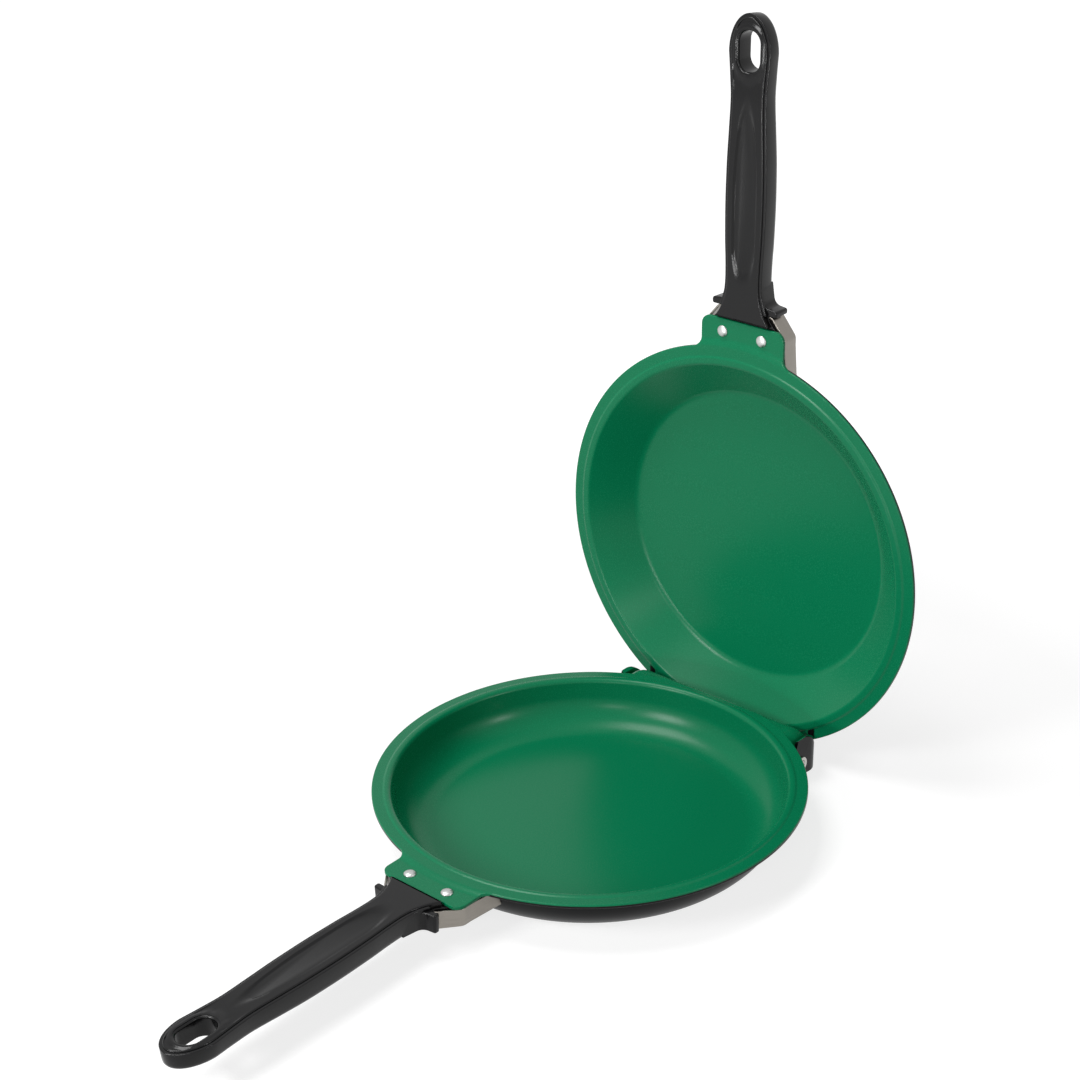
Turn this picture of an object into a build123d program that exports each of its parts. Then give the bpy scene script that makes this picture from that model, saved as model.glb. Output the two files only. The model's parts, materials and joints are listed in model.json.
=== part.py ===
"""Double sided flip pan: two round griddle pans hinged at the back, a riveted handle on each.

The lower pan stands on its flat base and the upper pan is swung open. Millimetres, +Z up, the
hinge to +Y, the handles to -Y, and the origin in the middle of the lower pan's base.
Each half is drawn in a frame of its own: its z = 0 plane is the plane where the two halves
meet, and the pan's body lies below it.
"""
import os
from dataclasses import dataclass
from math import radians, sin, sqrt, tan

from build123d import *

os.makedirs("parts", exist_ok=True)

# Pans
rim_radius = 125.0
sheet = 2.5
flange_width = 11.2
mouth_rounding = 2.5
bead_width = 3.7
bead_height = 0.6
rim_edge_rounding = 0.8
cove_radius = 5.5
lower_depth = 28.5
lower_wall_slope = 80.0
lower_corner = 22.0
upper_depth = 21.5
upper_wall_slope = 43.0
upper_corner = 8.0

# Hinge
mating_gap = 0.4
open_angle = 91.0
pivot_inset = 11.0
hinge_drop = 19.0
ear_sheet = 2.0
lower_ear_face = 64.9
lower_bend = 10.0
apron_sweep = 78.0
hinge_washer = 0.5
hinge_play = 0.05
upper_bend = 12.5
upper_lobe = 17.0
upper_lobe_start = 170.0
upper_lobe_arc = 75.0
upper_foot_arc = 100.0
ear_root_inset = 6.8
ear_rounding = 3.0
upper_lug_inset = 1.5
hinge_root_inset = 8.0
rim_clearance = 0.6
hinge_shank = 5.5
hinge_head = 9.5
hinge_head_height = 1.6
hinge_head_recess = 4.6
hinge_inner_washer = 11.0
running_fit = 0.08
press_fit_gap = 0.02

# Front lugs and their rivets
lug_half_width = 29.5
lug_length = 16.0
lug_corner = 6.0
lug_flare = 5.0
lug_sheet = 2.0
lug_drop = 1.8
rivet_spacing = 27.5
rivet_inset = 7.5
rivet_shank = 4.5
rivet_head = 6.8
rivet_head_height = 1.6
rivet_hole_gap = 0.1
rivet_washer = 9.0
rivet_washer_height = 0.8
rivet_tail = 7.4
rivet_tail_height = 1.3

# Handles
handle_face_drop = 0.4
handle_rim_drop = 0.9
handle_rebate = 1.8
handle_thickness = 15.0
handle_taper = 4.0
handle_underside_rounding = 5.0
handle_length = 181.0
root_half_width = 20.4
neck_half_width = 12.8
belly_half_width = 14.1
waist_half_width = 12.0
tip_half_width = 13.3
neck_length = 15.0
waist_inset = 52.0
shoulder_inset = 28.0
neck_turn = 30.0
waist_turn = 60.0
tip_flat = 0.2
hang_hole_width = 16.0
hang_hole_length = 25.0
hang_hole_inset = 24.5
lens_half_width = 7.5
lens_depth = 1.2
lens_taper = 35.0
collar_gap = 7.5
collar_half_width = 24.5
collar_wing = 4.0
collar_length = 20.0
collar_waist_inset = 1.0
collar_drop = 3.0
collar_thickness = 11.5
collar_flare = 8.0
collar_edge = 1.5
collar_sweep = 5.0
collar_turn = 3.0
tongue_half_width = 20.3
tongue_margin = 6.0
tongue_thickness = 4.0
lug_edge_gap = 0.3

# Handle straps and their screws
strap_thickness = 1.2
strap_width = 10.6
strap_gap = 0.3
strap_elbow_half = 21.8
strap_arm_half = 31.0
strap_elbow_depth = 10.1
strap_arm_length = 5.5
strap_splay = 7.5
strap_far_inset = 45.0
strap_bend = 3.0
strap_wall_gap = 0.15
notch_gap = 0.2
screw_diameter = 3.0
screw_hole_gap = 0.2
screw_head = 5.6
screw_head_height = 2.0
screw_slot = 0.8
screw_length = 8.0
insert_diameter = 5.0
insert_length = 7.0
insert_gap = 0.05
screw_end_room = 2.0

# Worked out from the sizes above
pan_height = lower_depth + sheet
flange_under = bead_height + sheet
mouth_radius = rim_radius - flange_width
bead_radius = mouth_radius + bead_width
pivot_reach = rim_radius - pivot_inset
ear_root = pivot_reach - ear_root_inset
hinge_root = rim_radius - hinge_root_inset
upper_lug_reach = rim_radius - upper_lug_inset
lug_reach = rim_radius + lug_length
rivet_reach = lug_reach - rivet_inset
tongue_reach = rivet_reach - tongue_margin
collar_face = lug_reach + collar_gap
neck_reach = collar_face + neck_length
lens_start = neck_reach
handle_reach = lug_reach + handle_length
waist_reach = handle_reach - waist_inset
lens_end = waist_reach
belly_reach = (neck_reach + waist_reach) / 2
shoulder_reach = handle_reach - shoulder_inset
hang_hole_reach = handle_reach - hang_hole_inset
strap_arm_start = collar_face - strap_elbow_depth
strap_arm_end = strap_arm_start - strap_arm_length
strap_far_end = rim_radius - strap_far_inset
lug_under = lug_drop + lug_sheet
tongue_under = lug_under + tongue_thickness
strap_top = lug_under + strap_gap
notch_bottom = tongue_under + notch_gap
screw_drop = (notch_bottom + strap_top + strap_width) / 2
pivot_height = pan_height - hinge_drop
lower_hood_radius = hinge_drop - bead_height
ear_radius = lower_hood_radius - lower_bend
lower_ear_inside = lower_ear_face - ear_sheet
upper_ear_inside = lower_ear_face + hinge_washer + 2 * hinge_play
upper_ear_face = upper_ear_inside + ear_sheet
front_of_hood = sqrt(hinge_root**2 - upper_ear_face**2)


@dataclass(frozen=True)
class Half:
    """One half of the pan: its name, its frame and the shape of its dish."""

    name: str
    frame: Plane
    depth: float
    wall_slope: float
    corner: float
    pivot_drop: float

    def on(self, plane: Plane) -> Plane:
        """Return a plane of the half's own frame in the model's frame."""
        return Plane(self.frame.location * plane.location)

    def level(self, height: float) -> Plane:
        """Return the plane at a height above the half's mating plane."""
        return self.on(Plane.XY.offset(height))

    def across(self, reach: float) -> Plane:
        """Return the upright plane across the pan at a reach towards the handle."""
        return self.on(Plane.XZ.offset(reach))

    @property
    def height(self) -> float:
        """The dish's height over its sheet, from the mating plane to the outside of its floor."""
        return self.depth + sheet

    @property
    def axis(self) -> Axis:
        """The axis of the round dish."""
        return Axis(self.frame.origin, self.frame.z_dir)

    @property
    def reach_axis(self) -> Axis:
        """The axis from the handle's end towards the hinge."""
        return Axis(self.frame.origin, self.frame.y_dir)

    def wall_radius(self, drop: float, thickness: float) -> float:
        """Return the wall's radius at a drop below the rim, measured outside a thickness."""
        slope = radians(self.wall_slope)
        return mouth_radius + thickness / sin(slope) - drop / tan(slope)


lower_frame = Plane(origin=(0, 0, pan_height))
closed_frame = Plane(origin=(0, 0, pan_height + mating_gap), x_dir=(-1, 0, 0), z_dir=(0, 0, -1))
pivot_place = Location((0, pivot_reach, pivot_height))
opening = pivot_place * Location((0, 0, 0), (-open_angle, 0, 0)) * pivot_place.inverse()
upper_frame = Plane(opening * closed_frame.location)

lower = Half("lower", lower_frame, lower_depth, lower_wall_slope, lower_corner, -hinge_drop)
upper = Half(
    "upper", upper_frame, upper_depth, upper_wall_slope, upper_corner, hinge_drop + mating_gap
)
halves = (lower, upper)
sides = {"left": -1, "right": 1}


def hood_section(half: Half, half_width: float, top: float, foot: float, bend: float) -> Sketch:
    """Draw a hood's section across the pan: a flat top at one height with two bent corners."""
    plane = half.across(-pivot_reach)
    with BuildSketch(plane) as section:
        with BuildLine():
            FilletPolyline(
                (-half_width, foot),
                (-half_width, top),
                (half_width, top),
                (half_width, foot),
                radius=bend,
            )
            Line((half_width, foot), (-half_width, foot))
        make_face()
    return section.sketch


# The lower pan's hinge hood: a flat top that rolls down behind, round the hinge's own axis, with
# an ear at each end. It is open underneath and towards the pan.
hinge_axis = Axis((0, pivot_reach, pivot_height), (1, 0, 0))
hood_forward = pivot_reach - front_of_hood
lower_outside = hood_section(lower, lower_ear_face, -bead_height, -hinge_drop, lower_bend)
lower_inside = hood_section(
    lower, lower_ear_inside, -bead_height - ear_sheet, -hinge_drop, lower_bend - ear_sheet
)
with BuildPart() as lower_hood:
    revolve(lower_outside, axis=hinge_axis, revolution_arc=-apron_sweep)
    extrude(lower_outside, amount=hood_forward, dir=(0, -1, 0))
    with BuildSketch(lower.on(Plane.YZ)):
        with Locations((pivot_reach, -hinge_drop)):
            Circle(ear_radius)
    extrude(amount=lower_ear_face, both=True)
    revolve(lower_inside, axis=hinge_axis, revolution_arc=-180, mode=Mode.SUBTRACT)
    extrude(lower_inside, amount=hood_forward, dir=(0, -1, 0), mode=Mode.SUBTRACT)
    with BuildSketch(lower.across(-pivot_reach)):
        with Locations((0, -hinge_drop)):
            Rectangle(2 * lower_ear_inside, 2 * ear_radius, align=(Align.CENTER, Align.MAX))
    extrude(amount=2 * lower_hood_radius, both=True, mode=Mode.SUBTRACT)
    with BuildSketch(lower.on(Plane.YZ)):
        with BuildLine():
            Polyline(
                (front_of_hood - ear_sheet, -flange_under),
                (pivot_reach - ear_radius, -hinge_drop),
                (pivot_reach - ear_radius, -2 * hinge_drop),
                (front_of_hood - ear_sheet, -2 * hinge_drop),
                close=True,
            )
        make_face()
    extrude(amount=rim_radius, both=True, mode=Mode.SUBTRACT)
    with BuildSketch(lower.level(-3 * hinge_drop)):
        Circle(hinge_root)
    extrude(amount=4 * hinge_drop, mode=Mode.SUBTRACT)

# The upper pan's hinge hood: a channel that straddles the lower one, with an ear down each side.
with BuildPart() as upper_hood:
    plate_under = -bead_height - ear_sheet
    ear_end = upper.pivot_drop + ear_radius
    channel_outside = hood_section(upper, upper_ear_face, plate_under, ear_end, upper_bend)
    extrude(channel_outside, amount=2 * rim_radius, dir=upper.frame.y_dir, both=True)
    channel_inside = hood_section(
        upper, upper_ear_inside, -bead_height, ear_end + ear_sheet, upper_bend - ear_sheet
    )
    extrude(
        channel_inside, amount=3 * rim_radius, dir=upper.frame.y_dir, both=True, mode=Mode.SUBTRACT
    )
    with BuildSketch(upper.on(Plane.YZ)) as upper_side:
        pivot_point = (pivot_reach, upper.pivot_drop)
        with BuildLine():
            foot = CenterArc(pivot_point, ear_radius, 0, upper_foot_arc)
            lobe = CenterArc(pivot_point, upper_lobe, upper_lobe_start, upper_lobe_arc)
            Line(foot @ 1, lobe @ 0)
            Polyline(
                lobe @ 1,
                (ear_root, 0),
                (front_of_hood, 0),
                (front_of_hood, plate_under),
                (upper_lug_reach, plate_under),
                (upper_lug_reach, flange_under),
                foot @ 0,
            )
        make_face()
        fillet(upper_side.vertices().sort_by_distance(lobe @ 0)[0], ear_rounding)
        fillet(upper_side.vertices().sort_by_distance((ear_root, 0))[0], ear_rounding)
    extrude(amount=rim_radius, both=True, mode=Mode.INTERSECT)
    with BuildSketch(upper.level(0)):
        Circle(rim_radius + rim_clearance)
    extrude(amount=flange_under + rim_clearance, mode=Mode.SUBTRACT)
    with BuildSketch(upper.level(-pan_height)):
        Circle(hinge_root)
    extrude(amount=2 * pan_height, mode=Mode.SUBTRACT)


def lug_plate(half: Half) -> Part:
    """Build the front lug that the handle is riveted to."""
    with BuildPart() as lug:
        with BuildSketch(half.level(-lug_under)) as plan:
            Circle(rim_radius - rim_edge_rounding)
            Rectangle(2 * lug_half_width, lug_reach, align=(Align.CENTER, Align.MAX))
            roots = plan.vertices().group_by(Axis.Y)[1]
            fillet(roots, lug_flare)
            fillet(plan.vertices().group_by(Axis.Y)[0], lug_corner)
            Circle(hinge_root, mode=Mode.SUBTRACT)
            Rectangle(
                4 * lug_half_width, lug_reach, align=(Align.CENTER, Align.MAX), mode=Mode.INTERSECT
            )
        extrude(amount=lug_sheet)
    return lug.part


def dish_section(half: Half) -> Sketch:
    """Draw the section of a dish from its axis out to the rim: floor, wall, bead and flat rim."""
    with BuildSketch(half.on(Plane.XZ)) as section:
        with BuildLine():
            FilletPolyline(
                (0, -half.depth),
                (half.wall_radius(half.depth, 0), -half.depth),
                (mouth_radius, 0),
                (bead_radius, 0),
                (bead_radius + bead_height, -bead_height),
                (rim_radius, -bead_height),
                (rim_radius, -flange_under),
                (half.wall_radius(flange_under, sheet), -flange_under),
                (half.wall_radius(half.height, sheet), -half.height),
                (0, -half.height),
                radius=[
                    half.corner,
                    mouth_rounding,
                    bead_height / 2,
                    0,
                    0,
                    rim_edge_rounding,
                    cove_radius,
                    half.corner + sheet,
                ],
            )
            Line((0, -half.height), (0, -half.depth))
        make_face()
    return section.sketch


def dish_envelope(half: Half, skin: float) -> Sketch:
    """Draw the space that a dish fills, its inside included, with a skin round its outside."""
    under = flange_under + skin
    foot = half.height + skin
    with BuildSketch(half.on(Plane.XZ)) as section:
        with BuildLine():
            FilletPolyline(
                (0, 0),
                (rim_radius + skin, 0),
                (rim_radius + skin, -under),
                (half.wall_radius(under, sheet + skin), -under),
                (half.wall_radius(foot, sheet + skin), -foot),
                (0, -foot),
                radius=[0, 0, cove_radius - skin, half.corner + sheet + skin],
            )
            Line((0, -foot), (0, 0))
        make_face()
    return section.sketch


def hinge_plane(side: int, offset: float) -> Plane:
    """Return the plane square to the hinge axis at an offset from the middle of the pan."""
    return Plane(origin=(side * offset, pivot_reach, pivot_height), x_dir=(0, 1, 0), z_dir=(side, 0, 0))


# The pans: a round dish with its flat rim and bead, the hinge hood behind and the lug in front.
for half, hood, pin_gap in ((lower, lower_hood, press_fit_gap), (upper, upper_hood, running_fit)):
    with BuildPart() as pan:
        revolve(dish_section(half), axis=half.axis)
        add(hood.part)
        add(lug_plate(half))
        with BuildSketch(half.level(-lug_under)):
            with Locations((0, -rivet_reach)):
                with GridLocations(rivet_spacing, 0, 2, 1):
                    Circle(rivet_shank / 2 + rivet_hole_gap)
        extrude(amount=lug_under, mode=Mode.SUBTRACT)
        with BuildSketch(hinge_plane(1, 0)):
            Circle(hinge_shank / 2 + pin_gap)
        extrude(amount=rim_radius, both=True, mode=Mode.SUBTRACT)
        if half is lower:
            # Behind the pivot the rim follows a cylinder that the upper pan's rim swings round.
            with BuildSketch(half.on(Plane.YZ)):
                with Locations((pivot_reach, -hinge_drop)):
                    Rectangle(2 * hinge_drop, 2 * hinge_drop, align=(Align.MIN, Align.MIN))
                    Circle(hinge_drop, mode=Mode.SUBTRACT)
            extrude(amount=rim_radius, both=True, mode=Mode.SUBTRACT)
    pan.part.label = f"{half.name}_pan"
    export_step(pan.part, f"parts/{half.name}_pan.step")


def handle_outline(half: Half, height: float, inset: float, start: float) -> Sketch:
    """Draw a handle's plan from a reach outwards, drawn in by an inset.

    It flares at the root, narrows to a neck, swells to a belly and ends in a round hanging end.
    """
    side = [
        (root_half_width - inset, -start),
        (neck_half_width - inset, -neck_reach),
        (belly_half_width - inset, -belly_reach),
        (waist_half_width - inset, -waist_reach),
        (tip_half_width - inset, -shoulder_reach),
        (tip_half_width - inset, inset - handle_reach),
    ]
    turns = [neck_turn, waist_turn, waist_turn, waist_turn, tip_half_width - inset - tip_flat]
    with BuildSketch(half.level(height)) as outline:
        with BuildLine():
            FilletPolyline(
                *side, *[(-x, y) for x, y in reversed(side)], radius=[*turns, *reversed(turns)]
            )
            Line((inset - root_half_width, -start), (root_half_width - inset, -start))
        make_face()
    return outline.sketch


# The handles: a long grip with a raised face, a hanging hole, a winged collar and a flat tongue
# that lies under the pan's lug.
for half in halves:
    shoulder = -handle_face_drop - handle_rim_drop
    grip_depth = handle_thickness - handle_rim_drop
    with BuildPart() as handle:
        body_outline = handle_outline(half, shoulder, 0, collar_face)
        extrude(body_outline, amount=-grip_depth, taper=handle_taper)
        under = handle.faces().sort_by(half.axis)[0]
        fillet(under.edges(), handle_underside_rounding)
        edge_reach = lug_reach + lug_edge_gap
        pad_outline = handle_outline(half, -lug_under, handle_rebate, edge_reach)
        extrude(pad_outline, amount=lug_under - handle_face_drop)
        with BuildSketch(half.level(-collar_drop)):
            with BuildLine():
                FilletPolyline(
                    (collar_half_width, -collar_face),
                    (collar_half_width, -collar_face - collar_wing),
                    (neck_half_width, -collar_face - collar_wing - collar_flare),
                    (neck_half_width - collar_waist_inset, -collar_face - collar_length),
                    (collar_waist_inset - neck_half_width, -collar_face - collar_length),
                    (-neck_half_width, -collar_face - collar_wing - collar_flare),
                    (-collar_half_width, -collar_face - collar_wing),
                    (-collar_half_width, -collar_face),
                    radius=[
                        collar_edge, collar_sweep, collar_turn, collar_turn, collar_sweep, collar_edge
                    ],
                )
                Line((-collar_half_width, -collar_face), (collar_half_width, -collar_face))
            make_face()
        extrude(amount=-collar_thickness, taper=handle_taper / 2)
        with BuildSketch(half.level(-lug_under)):
            with Locations((0, -tongue_reach)):
                Rectangle(
                    2 * tongue_half_width,
                    collar_face - tongue_reach + collar_wing / 2,
                    align=(Align.CENTER, Align.MAX),
                )
        extrude(amount=-tongue_thickness)
        with BuildSketch(half.level(0)):
            with Locations((0, -hang_hole_reach)):
                SlotOverall(hang_hole_length, hang_hole_width, rotation=90)
        extrude(amount=-2 * handle_thickness, mode=Mode.SUBTRACT)
        with BuildSketch(half.level(-handle_face_drop)):
            with BuildLine():
                ThreePointArc(
                    (0, -lens_start), (lens_half_width, -(lens_start + lens_end) / 2), (0, -lens_end)
                )
                ThreePointArc(
                    (0, -lens_end), (-lens_half_width, -(lens_start + lens_end) / 2), (0, -lens_start)
                )
            make_face()
        extrude(amount=-lens_depth, taper=lens_taper, mode=Mode.SUBTRACT)
        with BuildSketch(half.level(0)):
            with Locations((0, -rivet_reach)):
                with GridLocations(rivet_spacing, 0, 2, 1):
                    Circle(rivet_shank / 2 + rivet_hole_gap)
        extrude(amount=-2 * tongue_under, mode=Mode.SUBTRACT)
        with BuildSketch(half.across(collar_face)):
            with Locations((0, -screw_drop)):
                Circle(insert_diameter / 2 + insert_gap)
        extrude(amount=insert_length, mode=Mode.SUBTRACT)
        with BuildSketch(half.across(collar_face)):
            with Locations((0, -screw_drop)):
                Circle(screw_diameter / 2 + insert_gap)
        extrude(amount=screw_length + screw_end_room, mode=Mode.SUBTRACT)
    handle.part.label = f"{half.name}_handle"
    export_step(handle.part, f"parts/{half.name}_handle.step")


# The straps: one strip of steel each, held against the collar and bent forward round the lug so
# that its two ends brace against the outside of the dish.
for half in halves:
    with BuildPart() as strap:
        with BuildSketch(half.level(-strap_top)):
            with BuildLine():
                bar = collar_face - strap_thickness / 2
                FilletPolyline(
                    (strap_arm_half + strap_splay, -strap_far_end),
                    (strap_arm_half, -strap_arm_end),
                    (strap_arm_half, -strap_arm_start),
                    (strap_elbow_half, -bar),
                    (-strap_elbow_half, -bar),
                    (-strap_arm_half, -strap_arm_start),
                    (-strap_arm_half, -strap_arm_end),
                    (-strap_arm_half - strap_splay, -strap_far_end),
                    radius=strap_bend,
                )
            trace(line_width=strap_thickness)
        extrude(amount=-strap_width)
        with BuildSketch(half.level(-strap_top)):
            with Locations((0, -tongue_reach)):
                Rectangle(
                    2 * (tongue_half_width + notch_gap), collar_face, align=(Align.CENTER, Align.MAX)
                )
        extrude(amount=strap_top - notch_bottom, mode=Mode.SUBTRACT)
        with BuildSketch(half.across(collar_face)):
            with Locations((0, -screw_drop)):
                Circle(screw_diameter / 2 + screw_hole_gap)
        extrude(amount=-2 * strap_thickness, mode=Mode.SUBTRACT)
        revolve(dish_envelope(half, strap_wall_gap), axis=half.axis, mode=Mode.SUBTRACT)
    strap.part.label = f"{half.name}_strap"
    export_step(strap.part, f"parts/{half.name}_strap.step")


# The lug rivets: two to a half, a low dome above the lug and a flat tail below the washer.
for half in halves:
    tail_top = -tongue_under - rivet_washer_height
    dome_radius = (rivet_head**2 / 4 + rivet_head_height**2) / (2 * rivet_head_height)
    dome_shoulder = rivet_head_height - dome_radius + sqrt(dome_radius**2 - rivet_head**2 / 16)
    with BuildPart() as rivets:
        for x in (-rivet_spacing / 2, rivet_spacing / 2):
            with BuildSketch(half.on(Plane.XZ.offset(rivet_reach))):
                with BuildLine():
                    dome = ThreePointArc(
                        (x + rivet_head / 2, -lug_drop),
                        (x + rivet_head / 4, -lug_drop + dome_shoulder),
                        (x, -lug_drop + rivet_head_height),
                    )
                    Polyline(
                        dome @ 1,
                        (x, tail_top - rivet_tail_height),
                        (x + rivet_tail / 2, tail_top - rivet_tail_height),
                        (x + rivet_tail / 2, tail_top),
                        (x + rivet_shank / 2, tail_top),
                        (x + rivet_shank / 2, -lug_drop),
                        dome @ 0,
                    )
                make_face()
            place = Plane(half.frame.location * Location((x, -rivet_reach, 0)))
            revolve(axis=Axis(place.origin, place.z_dir))
    rivets.part.label = f"{half.name}_lug_rivets"
    export_step(rivets.part, f"parts/{half.name}_lug_rivets.step")

# The rivet washers: they spread the rivets' tails over the underside of the tongue.
for half in halves:
    with BuildPart() as washers:
        with BuildSketch(half.level(-tongue_under)):
            with Locations((0, -rivet_reach)):
                with GridLocations(rivet_spacing, 0, 2, 1):
                    Circle(rivet_washer / 2)
                    Circle(rivet_shank / 2 + rivet_hole_gap, mode=Mode.SUBTRACT)
        extrude(amount=-rivet_washer_height)
    washers.part.label = f"{half.name}_rivet_washers"
    export_step(washers.part, f"parts/{half.name}_rivet_washers.step")

# The strap screws, each with a slotted round head, and the brass inserts that they thread into.
for half in halves:
    with BuildPart() as screw:
        with BuildSketch(half.across(collar_face - strap_thickness)):
            with Locations((0, -screw_drop)):
                Circle(screw_head / 2)
        extrude(amount=-screw_head_height)
        crown = screw.faces().sort_by(half.reach_axis)[-1]
        fillet(crown.edges(), screw_head_height / 2)
        with BuildSketch(half.across(collar_face - strap_thickness - screw_head_height)):
            with Locations((0, -screw_drop)):
                Rectangle(screw_head, screw_slot)
        extrude(amount=screw_head_height / 2, mode=Mode.SUBTRACT)
        with BuildSketch(half.across(collar_face - strap_thickness)):
            with Locations((0, -screw_drop)):
                Circle(screw_diameter / 2)
        extrude(amount=strap_thickness + screw_length)
    screw.part.label = f"{half.name}_strap_screw"
    export_step(screw.part, f"parts/{half.name}_strap_screw.step")

    with BuildPart() as insert:
        with BuildSketch(half.across(collar_face)):
            with Locations((0, -screw_drop)):
                Circle(insert_diameter / 2)
                Circle(screw_diameter / 2 + press_fit_gap, mode=Mode.SUBTRACT)
        extrude(amount=insert_length)
    insert.part.label = f"{half.name}_handle_insert"
    export_step(insert.part, f"parts/{half.name}_handle_insert.step")

# The hinge rivets: each passes through both ears of its side, with a flat head inside and an
# outer end rolled into a ring. The lower ear grips it and the upper ear turns on it.
for side_name, side in sides.items():
    head_start = lower_ear_inside - hinge_washer - hinge_play
    with BuildPart() as hinge_rivet:
        with BuildSketch(hinge_plane(side, head_start - hinge_head_height)):
            Circle(hinge_head / 2)
        extrude(amount=hinge_head_height)
        with BuildSketch(hinge_plane(side, head_start)):
            Circle(hinge_shank / 2)
        extrude(amount=upper_ear_face + hinge_play - head_start)
        with BuildSketch(hinge_plane(side, upper_ear_face + hinge_play)):
            Circle(hinge_head / 2)
        extrude(amount=hinge_head_height)
        outer_face = hinge_rivet.faces().sort_by(Axis((0, 0, 0), (side, 0, 0)))[-1]
        fillet(outer_face.edges(), hinge_head_height / 2)
        with BuildSketch(hinge_plane(side, upper_ear_face + hinge_play + hinge_head_height)):
            Circle(hinge_head_recess / 2)
        extrude(amount=-hinge_head_height / 2, mode=Mode.SUBTRACT)
    hinge_rivet.part.label = f"{side_name}_hinge_rivet"
    export_step(hinge_rivet.part, f"parts/{side_name}_hinge_rivet.step")

    with BuildPart() as ear_washer:
        with BuildSketch(hinge_plane(side, lower_ear_face + hinge_play)):
            Circle(ear_radius - hinge_washer)
            Circle(hinge_shank / 2 + running_fit, mode=Mode.SUBTRACT)
        extrude(amount=hinge_washer)
    ear_washer.part.label = f"{side_name}_friction_washer"
    export_step(ear_washer.part, f"parts/{side_name}_friction_washer.step")

    with BuildPart() as head_washer:
        with BuildSketch(hinge_plane(side, head_start)):
            Circle(hinge_inner_washer / 2)
            Circle(hinge_shank / 2 + running_fit, mode=Mode.SUBTRACT)
        extrude(amount=hinge_washer)
    head_washer.part.label = f"{side_name}_hinge_washer"
    export_step(head_washer.part, f"parts/{side_name}_hinge_washer.step")
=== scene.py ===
"""Looks of a double sided flip pan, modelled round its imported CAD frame.

Each half of the pan is drawn in millimetres in a frame of its own: z = 0 is the plane where the
two halves meet, the dish lies below it, +y points to the hinge and -y to the handle.
"""
import json
import logging
import math
from dataclasses import dataclass, field
from enum import Enum

import bmesh
import bpy
from mathutils import Matrix, Vector


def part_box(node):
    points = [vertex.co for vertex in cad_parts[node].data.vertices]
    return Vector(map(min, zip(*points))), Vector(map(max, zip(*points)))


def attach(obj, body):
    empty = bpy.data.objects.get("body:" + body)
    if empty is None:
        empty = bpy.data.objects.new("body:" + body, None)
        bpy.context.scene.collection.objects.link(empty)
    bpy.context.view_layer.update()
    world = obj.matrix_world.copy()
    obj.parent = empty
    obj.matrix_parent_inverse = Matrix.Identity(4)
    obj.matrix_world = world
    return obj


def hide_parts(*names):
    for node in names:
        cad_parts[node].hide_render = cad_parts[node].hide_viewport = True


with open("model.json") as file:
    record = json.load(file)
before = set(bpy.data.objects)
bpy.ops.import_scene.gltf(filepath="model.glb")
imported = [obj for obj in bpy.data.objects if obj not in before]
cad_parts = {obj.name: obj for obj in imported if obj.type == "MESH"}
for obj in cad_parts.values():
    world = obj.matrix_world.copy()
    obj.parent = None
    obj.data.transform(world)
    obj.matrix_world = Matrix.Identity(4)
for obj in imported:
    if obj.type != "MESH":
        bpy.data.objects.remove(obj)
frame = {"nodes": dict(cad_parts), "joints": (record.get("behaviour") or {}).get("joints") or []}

log = logging.getLogger("flip_pan")

MILLIMETRE = 0.001
LOWER_BODY = "lower_half"
UPPER_BODY = "upper_half"
# The sockets of a Mix node that mixes colours.
MIX_SHARE, MIX_FROM, MIX_TO, MIX_COLOUR = 0, 6, 7, 2
# The stretch of values that a noise texture mostly fills.
NOISE_RANGE = {"From Min": 0.3, "From Max": 0.7}
# Points closer than the first and edges shorter than the second are merged, in metres.
SAME_POINT = 2e-6
NO_EDGE = 1e-7
# A corner that turns by less than this counts as straight, in radians.
STRAIGHT = 1e-4
# An inset point moves by no more than its inset over this, however sharp its corner is.
LEAST_LEAN = 0.5
# The turn of each piece of an arc, in degrees.
ARC_STEP = 9.0
# An edge whose faces turn by more than this is sharp, in degrees.
SHARP = 32.0
# How many pieces make the full turn of a round cut.
CUT_SEGMENTS = 160

Point = tuple[float, float]


class Coat(Enum):
    """The two coats of a pan, in the order of its material slots."""

    INSIDE = 0
    OUTSIDE = 1


class Join(Enum):
    """What a second solid does to a first one."""

    ADD = "UNION"
    CUT = "DIFFERENCE"
    KEEP_COMMON = "INTERSECT"


# ---------------------------------------------------------------- helpers


def linear(hex_colour: str) -> tuple[float, float, float, float]:
    """Turn an sRGB hex colour into linear RGBA.

    Args:
        hex_colour: six hex digits, such as "04704B".

    Returns:
        The linear colour with an alpha of 1.
    """
    channels = [int(hex_colour[i : i + 2], 16) / 255 for i in (0, 2, 4)]
    red, green, blue = (
        c / 12.92 if c <= 0.04045 else ((c + 0.055) / 1.055) ** 2.4 for c in channels
    )
    return red, green, blue, 1.0


def add_node(
    tree: bpy.types.NodeTree, kind: str, sockets: dict | None = None, **settings: object
) -> bpy.types.Node:
    """Add a node with its settings, its sockets' values and its links.

    Args:
        tree: the node tree that gets the node.
        kind: the node's type name, such as "ShaderNodeBump".
        sockets: a value, or another node's output, for each named or numbered input.
        **settings: the node's own properties.

    Returns:
        The new node.
    """
    node = tree.nodes.new(kind)
    for name, value in settings.items():
        setattr(node, name, value)
    for key, value in (sockets or {}).items():
        if isinstance(value, bpy.types.NodeSocket):
            tree.links.new(value, node.inputs[key])
        else:
            node.inputs[key].default_value = value
    return node


def smooth_step(value: float, low: float, high: float) -> float:
    """Return 0 below low, 1 above high and a smooth ramp between them."""
    t = min(1.0, max(0.0, (value - low) / (high - low)))
    return t * t * (3 - 2 * t)


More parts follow.
